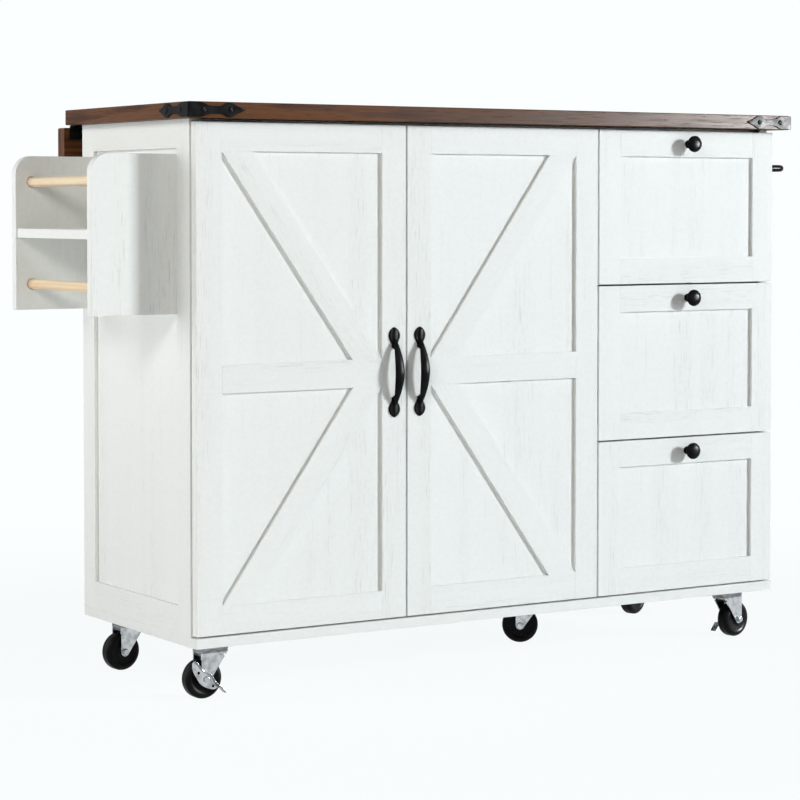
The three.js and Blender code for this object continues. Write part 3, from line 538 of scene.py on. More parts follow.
def joined(rings: Sequence[Sequence[Sequence[float]]], closed: bool = False) -> Solid:
    """Joins rings of equally many points.

    Args:
        rings: The rings in order.
        closed: True joins the last ring to the first, otherwise both ends get a cap.

    Returns:
        The solid.
    """
    solid = bmesh.new()
    made = [[solid.verts.new(point) for point in ring] for ring in rings]
    for one, two in zip(made, made[1:] + made[:1] if closed else made[1:]):
        for i in range(len(one)):
            j = (i + 1) % len(one)
            solid.faces.new((one[i], one[j], two[j], two[i]))
    if not closed:
        solid.faces.new(list(reversed(made[0])))
        solid.faces.new(made[-1])
    return solid


def extruded(
    outline: Sequence[Flat], axis: Vector, start: float, end: float, bevel: float = 0.0, segments: int = 2
) -> Solid:
    """Extrudes a flat outline.

    Args:
        outline: Its points. For an axis X they are (y, z), for Y (x, z) and for Z (x, y).
        axis: X, Y or Z.
        start: Where the solid starts along the axis.
        end: Where it ends.
        bevel: The width of the bevel on its sharp edges.
        segments: Steps in the bevel.

    Returns:
        The solid.
    """
    places = (lambda a, b, c: (c, a, b), lambda a, b, c: (a, c, b), lambda a, b, c: (a, b, c))
    place = places[max(range(3), key=lambda i: abs(axis[i]))]
    solid = joined([[place(a, b, at) for a, b in outline] for at in (start, end)])
    bmesh.ops.recalc_face_normals(solid, faces=solid.faces)
    return rounded(solid, bevel, segments)


def lofted(rings: Sequence[Sequence[Vector]], closed: bool = False) -> Solid:
    """Joins rings like joined, and merges the points where a ring closes up."""
    solid = joined(rings, closed)
    bmesh.ops.remove_doubles(solid, verts=solid.verts, dist=MERGE)
    bmesh.ops.dissolve_degenerate(solid, edges=solid.edges, dist=MERGE)
    bmesh.ops.recalc_face_normals(solid, faces=solid.faces)
    return solid


def spokes(axis: Vector, sides: int) -> list[Vector]:
    """Returns unit vectors that point away from the axis, at even steps round it."""
    first, second = other_axes(axis)
    angles = [math.tau * i / sides for i in range(sides)]
    return [math.cos(angle) * first + math.sin(angle) * second for angle in angles]


def turned(profile: Sequence[Flat], centre: Sequence[float], axis: Vector, sides: int = 48) -> Solid:
    """Turns a profile about an axis.

    Args:
        profile: Points of (radius, height along the axis) from one end to the other. Where both ends
            have a radius of 0 the solid is closed by its points, otherwise by flat caps.
        centre: The point at height 0.
        axis: The axis' direction.
        sides: Steps round the axis.

    Returns:
        The solid.
    """
    centre, around = Vector(centre), spokes(axis, sides)
    rings = []
    for radius, height in profile:
        rings.append([centre + max(radius, LEAST) * out + height * axis for out in around])
    return lofted(rings)


def ringed(profile: Sequence[Flat], centre: Sequence[float], axis: Vector, sides: int = 64) -> Solid:
    """Turns a closed profile that doesn't reach its axis, such as a tyre's or a washer's."""
    centre, rings = Vector(centre), []
    for out in spokes(axis, sides):
        rings.append([centre + radius * out + height * axis for radius, height in profile])
    return lofted(rings, closed=True)


def swept(path: Sequence[Vector], radius: float, sides: int = 24) -> Solid:
    """Returns a round tube of that radius along a path that lies in a level plane."""
    rings = []
    for i, point in enumerate(path):
        before, after = path[max(i - 1, 0)], path[min(i + 1, len(path) - 1)]
        ahead = (after - before).normalized()
        side = ahead.cross(Z).normalized()
        angles = [math.tau * k / sides for k in range(sides)]
        rings.append([point + radius * (math.cos(a) * side + math.sin(a) * Z) for a in angles])
    return lofted(rings)


def rod(radius: float, low: float, high: float) -> list[Flat]:
    """Returns the profile of a plain rod between two heights on its axis."""
    return [(0, low), (radius, low), (radius, high), (0, high)]


def arc(centre: Flat, radius: float, start: float, end: float, steps: int = 8) -> list[Flat]:
    """Returns points on an arc between two angles in degrees."""
    angles = [math.radians(start + (end - start) * i / steps) for i in range(steps + 1)]
    return [(centre[0] + radius * math.cos(a), centre[1] + radius * math.sin(a)) for a in angles]


def cornered(low: Flat, high: Flat, radius: float, steps: int, inset: float = 0.0) -> list[Flat]:
    """Returns a rectangle with round corners.

    Args:
        low: Its lowest corner.
        high: Its highest corner.
        radius: The rounding of its corners.
        steps: Steps in each of them.
        inset: How far inside the rectangle the outline runs.

    Returns:
        The outline.
    """
    xs, ys = (low[0] + radius, high[0] - radius), (low[1] + radius, high[1] - radius)
    centres = ((xs[1], ys[1]), (xs[0], ys[1]), (xs[0], ys[0]), (xs[1], ys[0]))
    return [
        point
        for turn, centre in enumerate(centres)
        for point in arc(centre, radius - inset, 90 * turn, 90 * turn + 90, steps)
    ]


def eased(points: Sequence[Flat], steps: int = 6) -> list[Flat]:
    """Returns a smooth curve through all the points, which starts and ends on them."""

    def between(a: float, b: float, c: float, d: float, t: float) -> float:
        square, cube = 2 * a - 5 * b + 4 * c - d, 3 * b - a - 3 * c + d
        return 0.5 * (2 * b + (c - a) * t + square * t * t + cube * t**3)

    padded = [points[0], *points, points[-1]]
    curve = []
    for four in zip(padded, padded[1:], padded[2:], padded[3:]):
        for t in (step / steps for step in range(steps)):
            curve.append(tuple(between(*values, t) for values in zip(*four)))
    return [*curve, points[-1]]


def screw_head(
    middle: Sequence[float], out: Vector, radius: float, height: float, turn: float = 0.0
) -> Solid:
    """Returns a domed screw head with one slot, standing on a face at its middle."""
    angles = [math.radians(step) for step in range(0, 90, 15)]
    dome = [(radius * math.cos(a), height * math.sin(a)) for a in angles]
    head = turned([(radius, -0.4), *dome, (0.0, height)], middle, out, 24)
    first, second = other_axes(out)
    along = math.cos(turn) * first + math.sin(turn) * second
    for vert in head.verts:
        rel = vert.co - Vector(middle)
        rise = rel.dot(out)
        aside = (rel - rise * out - rel.dot(along) * along).length
        if rise > 0.55 * height and aside < 0.17 * radius:
            vert.co -= 0.4 * height * out
    return head


def placed(name: str, solid: Solid) -> bpy.types.Object:
    """Makes an object of a solid, which is used up, in the scene."""
    mesh = bpy.data.meshes.new(name)
    solid.to_mesh(mesh)
    solid.free()
    made = bpy.data.objects.new(name, mesh)
    bpy.context.scene.collection.objects.link(made)
    return made


def carved(solid: Solid, tools: Iterable[Solid], operation: str = "DIFFERENCE") -> Solid:
    """Cuts tools out of one solid, or keeps what it shares with them.

    Args:
        solid: The solid, which is used up.
        tools: The tools, which are used up.
        operation: "DIFFERENCE" or "INTERSECT".

    Returns:
        The carved solid.
    """
    blank = placed("blank", solid)
    cutters = [placed("tool", tool) for tool in tools]
    for cutter in cutters:
        modifier = blank.modifiers.new("carve", "BOOLEAN")
        modifier.object, modifier.operation, modifier.solver = cutter, operation, "EXACT"
    result = bmesh.new()
    result.from_object(blank, bpy.context.evaluated_depsgraph_get())
    for used in (blank, *cutters):
        bpy.data.meshes.remove(used.data)
    return result


class Shape:
    """Closed solids gathered into one mesh, each with the grain it was cut with.

    Args:
        name: The piece's name, which also seeds the places its boards are cut from.
    """

    def __init__(self, name: str) -> None:
        self.name = name
        self.dice = random.Random(name)
        self.mesh = bmesh.new()
        for layer in (GRAIN, BOARD):
            self.mesh.loops.layers.float_vector.new(layer)

    def take(
        self, solid: Solid, along: Vector = Z, banded: bool = True, matrix: Matrix | None = None
    ) -> "Shape":
        """Adds a solid.

        Args:
            solid: The solid, in cabinet millimetres, or in its own frame if it comes with a matrix.
            along: The direction of its grain, in the solid's frame.
            banded: True lays the grain of the cut ends along their longer side.
            matrix: Takes the solid's frame to the cabinet's.

        Returns:
            This shape.
        """
        grain = solid.loops.layers.float_vector.new(GRAIN)
        board = solid.loops.layers.float_vector.new(BOARD)
        offset = Vector([self.dice.uniform(-9, 9) for _ in range(3)])
        tone = self.dice.random()
        along = along.normalized()
        places = [[vert.co[i] for vert in solid.verts] for i in range(3)]
        sizes = [max(place) - min(place) for place in places]
        broad = (X, Y, Z)[max((i for i in range(3) if abs(along[i]) < 0.8), key=lambda i: sizes[i])]
        across = (broad - broad.dot(along) * along).normalized()
        through = along.cross(across)
        solid.normal_update()
        for face in solid.faces:
            is_end = abs(face.normal.dot(along)) > 0.8
            is_edge = abs(face.normal.dot(through)) < 0.5
            axes = (across, along, through) if is_end and banded else (along, across, through)
            for loop in face.loops:
                place = MM * loop.vert.co
                loop[grain] = Vector([place.dot(axis) for axis in axes]) + offset
                loop[board] = (tone, float(is_edge), 0.0)
        if matrix is not None:
            solid.transform(matrix)
        part = bpy.data.meshes.new("part")
        solid.to_mesh(part)
        solid.free()
        self.mesh.from_mesh(part)
        bpy.data.meshes.remove(part)
        return self


@dataclass
class Island:
    """What the sub-assemblies share: the frame's bodies, the finishes and where the cabinet stands.

    Attributes:
        effects: The shared node groups.
        finishes: The finishes.
        to_row: Takes cabinet millimetres to the frame's metres.
    """

    effects: Effects
    finishes: Finishes
    to_row: Matrix

    def piece(
        self, shape: Shape, finish: Finish, body: str, nodes: Iterable[str] = (), bevel: float = 0.0
    ) -> None:
        """Turns a shape into a piece of the island.

        Args:
            shape: The shape, in cabinet millimetres.
            finish: Its finish.
            body: The CAD body it rides on.
            nodes: The CAD nodes that it stands for.
            bevel: The width of a bevel on all its sharp edges.
        """
        shape.mesh.transform(self.to_row)
        piece = placed(shape.name, shape.mesh)
        piece.data.materials.append(finish.material(self.effects, Source.BOARDS))
        self.shade(piece, bevel)
        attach(piece, body)
        if nodes:
            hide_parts(*nodes)
        log.info("%s: %d faces on %s", shape.name, len(piece.data.polygons), body)

    def stand_in(
        self,
        node: str,
        solid: Solid,
        along: Vector,
        finish: Finish,
        body: str = "cabinet",
        banded: bool = True,
    ) -> None:
        """Builds a piece of one solid that stands for one CAD node.

        Args:
            node: The node.
            solid: The solid, in cabinet millimetres, which is used up.
            along: The direction of its grain.
            finish: Its finish.
            body: The CAD body it rides on.
            banded: True lays the grain of the cut ends along their longer side.
        """
        self.piece(Shape(f"{node}_dressed").take(solid, along, banded), finish, body, [node])

    @staticmethod
    def shade(piece: bpy.types.Object, bevel: float) -> None:
        """Eases a piece's edges and shades it smoothly, with its broad faces kept flat."""
        if bevel:
            eased_edges = piece.modifiers.new("eased_edges", "BEVEL")
            eased_edges.width, eased_edges.segments = bevel * MM, 2
            eased_edges.limit_method, eased_edges.angle_limit = "ANGLE", math.radians(40)
        mesh = piece.data
        mesh.polygons.foreach_set("use_smooth", [True] * len(mesh.polygons))
        if not bevel:
            mesh.set_sharp_from_angle(angle=math.radians(50))
        weighted = piece.modifiers.new("flat_faces", "WEIGHTED_NORMAL")
        weighted.keep_sharp = True
        weighted.weight = 100

    def keep(self, node: str, finish: Finish, bevel: float) -> None:
        """Gives a CAD node that keeps its shape a finish and eased edges."""
        piece = bpy.data.objects[node]
        piece.data.materials.clear()
        piece.data.materials.append(finish.material(self.effects, Source.OBJECT))
        self.shade(piece, bevel)
        log.info("%s: kept, in %s", node, finish.slot)


# ---- the cabinet


@dataclass
class Carcass:
    """The cabinet without its fronts: boards of whitewashed wood.

    Attributes:
        width: The cabinet's width.
        front: Where the carcass starts behind the fronts.
        back: The cabinet's rear face.
        base: The underside and the top of the base board.
        top: The worktop's underside.
        partition: The two faces of the wall between doors and drawers.
        strip: Thickness of the applied frame strips.
        side: Thickness of a side panel with its strips.
        stile: Width of the side frames' upright strips.
        rail: Width of their level strips.
        back_thickness: Thickness of the back panel.
        stretcher: Thickness of the stretcher under the worktop.
        stretcher_ys: Its front and rear faces.
        shelf: The shelf's underside and top.
        shelf_front: Its front edge.
        clear: What the partition leaves free under the stretcher.
    """

    width: float = 1160
    front: float = 18
    back: float = 403
    base: Flat = (88, 104)
    top: float = 910
    partition: Flat = (765.333, 781.333)
    strip: float = 6
    side: float = 18
    stile: float = 43
    rail: float = 45
    back_thickness: float = 12
    stretcher: float = 16
    stretcher_ys: Flat = (32, 88)
    shelf: Flat = (498, 514)
    shelf_front: float = 48
    clear: float = 0.3

    def build(self, island: Island) -> None:
        """Builds the base board, the two sides and the boards inside."""
        paint, (bottom, floor) = island.finishes.whitewash, self.base
        island.stand_in("base_board", block((0, 0, bottom), (self.width, self.back, floor), 0.8), X, paint)
        self.side_panel(island, "left", 0, 1)
        self.side_panel(island, "right", self.width, -1)
        left, right = self.side, self.width - self.side
        behind, under = self.back - self.back_thickness, self.top - self.stretcher
        (wall_left, wall_right), (near, far), (low, high) = self.partition, self.stretcher_ys, self.shelf
        boards = {
            "partition": ((wall_left, self.front, floor), (wall_right, behind, under - self.clear), Z),
            "top_stretcher": ((left, near, under), (right, far, self.top), X),
            "cabinet_shelf": ((left, self.shelf_front, low), (wall_left, behind, high), X),
            "back_panel": ((left, behind, floor), (right, self.back, self.top), Z),
        }
        for name, (low, high, along) in boards.items():
            island.stand_in(name, block(low, high, 0.5), along, paint)

    def side_panel(self, island: Island, name: str, face: float, inward: int) -> None:
        """Builds one side: the panel and the frame of four strips laid on its outside.

        Args:
            island: The island.
            name: "left" or "right".
            face: X of the strips' outer face.
            inward: +1 or -1, the direction along X into the cabinet.
        """
        shape = Shape(f"side_panel_{name}_dressed")
        low, high = self.base[1], self.top

        def board(depths: Flat, ys: Flat, zs: Flat, along: Vector) -> None:
            xs = sorted(face + inward * depth for depth in depths)
            shape.take(block((xs[0], ys[0], zs[0]), (xs[1], ys[1], zs[1]), 0.5), along)

        board((self.strip, self.side), (self.front, self.back), (low, high), Z)
        inner = (self.front + self.stile, self.back - self.stile)
        for ys in ((self.front, inner[0]), (inner[1], self.back)):
            board((0, self.strip), ys, (low, high), Z)
        for zs in ((low, low + self.rail), (high - self.rail, high)):
            board((0, self.strip), inner, zs, Y)
        island.piece(shape, island.finishes.whitewash, "cabinet", [f"side_panel_{name}"])


@dataclass
class FramedFront:
    """A door or a drawer front: a slab with strips laid on it as a frame.

    Attributes:
        node: The CAD node that it stands for.
        body: The body that it rides on.
        span: Its left and right edges.
        rise: Its lower and upper edges.
        rails: The lower edges of its level strips.
        braces: For each, the opening's lower and upper edge and whether it falls to the right.
        cups: The X and Z of each hinge cup's bore.
        cup_radius: The bore's radius.
        cup_depth: Its depth.
        strip: Thickness of the strips.
        depth: Thickness of the whole front.
        width: Width of the strips.
    """

    node: str
    body: str
    span: Flat
    rise: Flat
    rails: tuple[float, ...]
    braces: tuple[tuple[float, float, bool], ...] = ()
    cups: tuple[Flat, ...] = ()
    cup_radius: float = 17.8
    cup_depth: float = 9.3
    strip: float = 5
    depth: float = 16
    width: float = 45

    def build(self, island: Island) -> None:
        """Builds the slab, its stiles, rails and braces, and the bores in its back."""
        (x0, x1), (z0, z1) = self.span, self.rise
        shape = Shape(f"{self.node}_dressed")
        bore, end = rod(self.cup_radius, 0, 12), self.depth - self.cup_depth
        bores = [turned(bore, (x, end, z), Y, 40) for x, z in self.cups]
        shape.take(carved(block((x0, self.strip, z0), (x1, self.depth, z1), 0.5), bores), Z)
        for left in (x0, x1 - self.width):
            shape.take(block((left, 0, z0), (left + self.width, self.strip, z1), 0.3), Z)
        inner = (x0 + self.width, x1 - self.width)
        for bottom in self.rails:
            shape.take(block((inner[0], 0, bottom), (inner[1], self.strip, bottom + self.width), 0.3), X)
        for low, high, falls in self.braces:
            outline, along = self.brace(inner, low, high, falls)
            shape.take(extruded(outline, Y, 0, self.strip, 0.25), along, banded=False)
        island.piece(shape, island.finishes.whitewash, self.body, [self.node])

    def brace(self, inner: Flat, low: float, high: float, falls: bool) -> tuple[list[Flat], Vector]:
        """Returns the outline of a strip from corner to corner of an opening, and its direction."""
        (x0, x1), height = inner, high - low
        foot = self.width
        for _ in range(8):
            foot = self.width * math.hypot(x1 - x0 - foot, height) / height
        run = x1 - x0 - foot
        if falls:
            return [(x1 - foot, low), (x1, low), (x0 + foot, high), (x0, high)], Vector((-run, 0, height))
        return [(x0, low), (x0 + foot, low), (x1, high), (x1 - foot, high)], Vector((run, 0, height))


@dataclass
class BowHandle:
    """A black bow handle with a leaf at each end, between collars.

    Attributes:
        node: The CAD node that it stands for.
        body: The door that carries it.
        x: Its middle along the front.
        z: Its middle height.
        half: Half its length.
        leaf: Length of a leaf.
        tip: From a leaf's tip to its widest place.
        leaf_width: A leaf's widest place.
        out: How far the bow stands out.
        bow: Width and thickness of the bow's middle.
        edge: Half of a leaf's outline: points along it from the bow, and the half width there.
    """

    node: str
    body: str
    x: float
    z: float = 506
    half: float = 73
    leaf: float = 24
    tip: float = 13
    leaf_width: float = 21.2
    out: float = 21.8
    bow: Flat = (17, 7)
    edge: tuple[Flat, ...] = (
        (-11.5, 0.4), (-8.5, 2.8), (-4, 5.0), (1, 7.4), (5.5, 9.6), (10, 10.6),
        (14, 10.2), (18, 8.3), (21, 5.6), (23, 2.9), (24, 0.3),
    )

    def build(self, island: Island) -> None:
        """Builds the bow, the collars, the leaves and their screws."""
        shape = Shape(f"{self.node}_dressed")
        shape.take(self.make_bow(), Z)
        neck = self.half - self.leaf
        for end in (-1, 1):
            shape.take(self.make_leaf(end), Z)
            shape.take(self.make_collar(end * (neck - 7)), Z)
            middle = (self.x, -2.7, self.z + end * (self.half - self.tip + 1))
            shape.take(screw_head(middle, -Y, 3.0, 1.3, 0.5 * end), Z)
        island.piece(shape, island.finishes.enamel, self.body, [self.node])

    def make_bow(self) -> Solid:
        """Returns the bow: oval sections along an arch, widest at its middle."""
        foot, steps = self.half - self.leaf + 7, 44
        rings = []
        for i in range(steps + 1):
            t = -1 + 2 * i / steps
            swell = (1 - t * t) ** 1.15
            width, thick = 4.6 + (self.bow[0] - 4.6) * swell, 3.8 + (self.bow[1] - 3.8) * swell
            depth = 1.6 + (self.out - 1.6 - thick / 2) * (1 - abs(t) ** 1.7)
            lean = 1.7 * abs(t) ** 0.7 * math.copysign(1, t) * (self.out - 4) / foot
            side = Vector((0, 1, lean)).normalized()
            ring = []
            for k in range(24):
                a = math.tau * k / 24
                # A soft ridge runs along the outer side.
                ridge = 1.0 + 0.10 * max(0.0, -math.sin(a)) ** 6
                across = 0.5 * width * math.cos(a) * X + 0.5 * thick * ridge * math.sin(a) * side
                ring.append(Vector((self.x, -depth, self.z + t * foot)) + across)
            rings.append(ring)
        return lofted(rings)

    def make_leaf(self, end: int) -> Solid:
        """Returns a leaf: a domed plate, round at its outer end and drawn out to the bow.

        Args:
            end: -1 for the lower leaf and +1 for the upper one.

        Returns:
            The leaf.
        """
        rings = []
        for along, half_width in eased(self.edge, 3):
            half_width = max(0.3, min(half_width, self.leaf_width / 2))
            crown = 1.2 + 2.4 * min(1.0, half_width / 8)
            z = self.z + end * (self.half - self.leaf + min(along, self.leaf))
            dome = []
            for a in (math.pi * k / 24 for k in range(25)):
                # Three veins run along the leaf.
                vein = 0.16 * math.cos(6 * (a - math.pi / 2)) * math.sin(a)
                rise = crown * (0.3 + 0.7 * math.sin(a) + vein)
                dome.append(Vector((self.x + half_width * math.cos(a), -rise, z)))
            rings.append([*dome, Vector((self.x - half_width, 0, z)), Vector((self.x + half_width, 0, z))])
        return lofted(rings)

    def make_collar(self, z: float) -> Solid:
        """Returns the beaded band round the neck between a leaf and the bow."""
        side = [(2.4, 0.7), (1.7, 0.95), (0.5, 1.0)]
        rings = []
        for along, swell in [*((-along, swell) for along, swell in side), (0.0, 0.86), *reversed(side)]:
            ring = []
            for k in range(20):
                a = math.tau * k / 20
                x = self.x + 7.2 * swell * math.cos(a)
                y = -3.9 + 4.6 * swell * math.sin(a)
                ring.append(Vector((x, min(y, 0.0), self.z + z + along)))
            rings.append(ring)
        return lofted(rings)


@dataclass
class MushroomKnob:
    """A black knob on a drawer.

    Attributes:
        level: The drawer's name.
        x: Its middle along the front.
        z: Its height.
    """

    level: str
    x: float
    z: float

    def build(self, island: Island) -> None:
        """Turns the foot, the neck and the domed head in one."""
        foot = [(7.0, 0), (7.0, 1.2), (6.5, 1.9), (5.2, 2.4)]
        neck = eased([(5.2, 2.4), (4.5, 5.0), (4.5, 9.5), (5.6, 12.4)], 4)
        under = [(5.6, 12.4), (9.5, 13.6), (13.0, 15.0), (14.3, 17.6)]
        head = eased([*under, (13.5, 20.9), (10.5, 23.6), (6.0, 25.1), (2.0, 25.5)], 5)
        profile = [(0, 0), *foot, *neck[1:], *head[1:], (0, 25.5)]
        knob = turned(profile, (self.x, 0, self.z), -Y, 48)
        body = f"drawer_{self.level}"
        island.stand_in(f"drawer_knob_{self.level}", knob, Y, island.finishes.enamel, body)


@dataclass
class DrawerBox:
    """A plywood drawer box with its two steel rails.

    Attributes:
        level: The drawer's name.
        bottom: The lower edge of the drawer's front.
        xs: The box's sides.
        ys: Its front and back.
        wall: Thickness of its walls.
        zs: Its lower and upper edges over the front's lower edge.
        floor: Its bottom's underside and top over its lower edge.
        rail_x: How far each rail stands out from the box.
        rail_ys: The rails' front and rear ends.
    """

    level: str
    bottom: float
    xs: Flat = (794.033, 1129.3)
    ys: Flat = (16, 366)
    wall: float = 12
    zs: Flat = (30, 210)
    floor: Flat = (8, 14)
    rail_x: float = 9.5
    rail_ys: Flat = (18, 358)

    def build(self, island: Island) -> None:
        """Builds four walls, the bottom and the rails."""
        (x0, x1), (y0, y1), w = self.xs, self.ys, self.wall
        z0, z1 = (self.bottom + z for z in self.zs)
        shape = Shape(f"drawer_box_{self.level}_dressed")
        for x in (x0, x1 - w):
            shape.take(block((x, y0, z0), (x + w, y1, z1), 0.6), Y, banded=False)
        for y in (y0, y1 - w):
            shape.take(block((x0 + w, y, z0), (x1 - w, y + w, z1), 0.6), X, banded=False)
        under, over = (z0 + z for z in self.floor)
        shape.take(block((x0 + w, y0 + w, under), (x1 - w, y1 - w, over), 0.2), Y, banded=False)
        body, middle = f"drawer_{self.level}", (z0 + z1) / 2
        island.piece(shape, island.finishes.birch, body, [f"drawer_box_{self.level}"])
        # A rail's web, its two flanges and the two tracks inside: the depths and heights of each.
        deep = self.rail_x
        bars = [((0, 1.4), (-14.4, 14.4)), ((0, deep), (14.4, 15.7)), ((0, deep), (-15.7, -14.4))]
        bars += [((1.4, deep - 1.2), (z - 2.6, z + 2.6)) for z in (-11.5, 11.5)]
        rails, (front, rear) = Shape(f"drawer_rails_{self.level}"), self.rail_ys
        for x, out in ((x0, -1), (x1, 1)):
            for depths, (low, high) in bars:
                left, right = sorted(x + out * depth for depth in depths)
                rails.take(block((left, front, middle + low), (right, rear, middle + high), 0.3), Y)
        island.piece(rails, island.finishes.zinc, body)


# ---- worktop, leaf and stays


@dataclass
class WalnutBoard:
    """The worktop or the leaf: one wide board with eased edges.

    Attributes:
        node: The CAD node that it stands for.
        body: The body that it rides on.
        low: Its lowest corner.
        high: Its highest corner.
        flat_axis: The axis that its thickness lies along.
        corner: The rounding of its corners in plan.
    """

    node: str
    body: str
    low: Point
    high: Point
    flat_axis: Vector = field(default_factory=lambda: Z)
    corner: float = 3

    def build(self, island: Island) -> None:
        """Builds the board with rounded corners in plan."""
        i = max(range(3), key=lambda k: abs(self.flat_axis[k]))
        a, b = [k for k in range(3) if k != i]
        (x0, y0), (x1, y1), r = (self.low[a], self.low[b]), (self.high[a], self.high[b]), self.corner
        outline = [
            *arc((x1 - r, y0 + r), r, -90, 0, 4), *arc((x1 - r, y1 - r), r, 0, 90, 4),
            *arc((x0 + r, y1 - r), r, 90, 180, 4), *arc((x0 + r, y0 + r), r, 180, 270, 4),
        ]
        solid = extruded(outline, self.flat_axis, self.low[i], self.high[i], 1.4, 3)
        island.stand_in(self.node, solid, X, island.finishes.walnut, self.body)


@dataclass
class CornerBracket:
    """A black strap bent round a front corner of the worktop, each wing ending in a point.

    Attributes:
        name: "left" or "right".
        corner: The worktop's corner, at half its thickness.
        outward: -1 for the left corner and +1 for the right one.
        thickness: The strap's thickness.
        height: Its height at the bend.
        edge: A wing's outline: points along it from the bend, and the half height there.
        screws: How far the screws are from the bend.
    """

    name: str
    corner: Point
    outward: int
    thickness: float = 2.5
    height: float = 23
    edge: tuple[Flat, ...] = (
        (0, 11.5), (10, 11.5), (20, 11.4), (26, 9.9), (31, 7.7), (37, 6.3),
        (44, 5.7), (53, 5.7), (58, 6.4), (62, 8.3), (66, 10.5), (70, 11.5),
        (74, 11.1), (78, 9.0), (83, 6.1), (88, 4.1), (93, 2.3), (97.5, 0.35),
    )
    screws: Flat = (24, 71)

    def build(self, island: Island) -> None:
        """Builds the bent strap and its four screws."""
        edge, t = eased(self.edge, 3), self.thickness
        # From the tip on the end of the worktop, round the corner, to the tip on its front edge.
        stations = [(s * Y, -X, half) for s, half in reversed(edge)]
        for a in (math.radians(step) for step in (15, 30, 45, 60, 75)):
            stations.append((0 * X, Vector((-math.cos(a), -math.sin(a), 0)), self.height / 2))
        stations += [(s * X, -Y, half) for s, half in edge]
        rings = []
        for foot, out, half in stations:
            ease = min(0.5, half * 0.5)
            upper = [(0, half), (t - 0.5, half), (t, half - ease)]
            profile = [*upper, *((depth, -up) for depth, up in reversed(upper))]
            rings.append([foot + depth * out + up * Z for depth, up in profile])
        turn = Matrix.Translation(self.corner) @ Matrix.Diagonal((-self.outward, 1, 1, 1))
        shape = Shape(f"corner_bracket_{self.name}_dressed")
        strap = lofted(rings)
        strap.transform(turn)
        bmesh.ops.recalc_face_normals(strap, faces=strap.faces)
        shape.take(strap, Z)
        for along in self.screws:
            front = Vector(self.corner) + Vector((-self.outward * along, -t, 0))
            end = Vector(self.corner) + Vector((self.outward * t, along, 0))
            shape.take(screw_head(front, -Y, 4.5, 1.5, 0.35 + along), Z)
            shape.take(screw_head(end, self.outward * X, 4.5, 1.5, 0.8 + along), Z)
        island.piece(shape, island.finishes.enamel, "cabinet", [f"corner_bracket_{self.name}"])


@dataclass
class LeafSupport:
    """The brackets of the two stays on the cabinet's back.

    Attributes:
        xs: The middles of the stays.
        back: The cabinet's rear face.
        pivot: Y and Z of the stays' pins.
        gap: From a stay's middle to an ear.
        plate: Half a plate's width, its thickness and half its height.
        screws: How far the screws are from the plate's middle, along and up.
    """

    xs: Flat = (290, 870)
    back: float = 403
    pivot: Flat = (414, 804.994)
    gap: float = 5.3
    plate: Point = (22, 2.5, 32)
    screws: Flat = (16, 25)

    def build(self, island: Island) -> None:
        """Builds each bracket: a plate, two ears, the pin and four screws."""
        (py, pz), gap, (wide, thick, high) = self.pivot, self.gap, self.plate
        face = self.back + thick
        for name, x in zip(("left", "right"), self.xs):
            shape = Shape(f"stay_bracket_{name}")
            shape.take(block((x - wide, self.back, pz - high), (x + wide, face, pz + high), 0.8, 3), Z)
            ear = [(self.back, pz - 16), (py, pz - 8), *arc((py, pz), 8, -90, 90, 12), (self.back, pz + 16)]
            for start in (x - gap - 3, x + gap):
                shape.take(extruded(ear, X, start, start + 3, 0.4), Z)
            half = [(0, 9.8), (3.6, 9.8), (4.4, 9.0), (4.4, 8.35), (3, 8.3)]
            pin = [*((radius, -along) for radius, along in half), *reversed(half)]
            shape.take(turned(pin, (x, py, pz), X, 24), X)
            for dx in (-self.screws[0], self.screws[0]):
                for dz in (-self.screws[1], self.screws[1]):
                    shape.take(screw_head((x + dx, face, pz + dz), Y, 3.4, 1.6, dx + dz), Z)
            island.piece(shape, island.finishes.enamel, "cabinet")


# ---- rack and towel rail


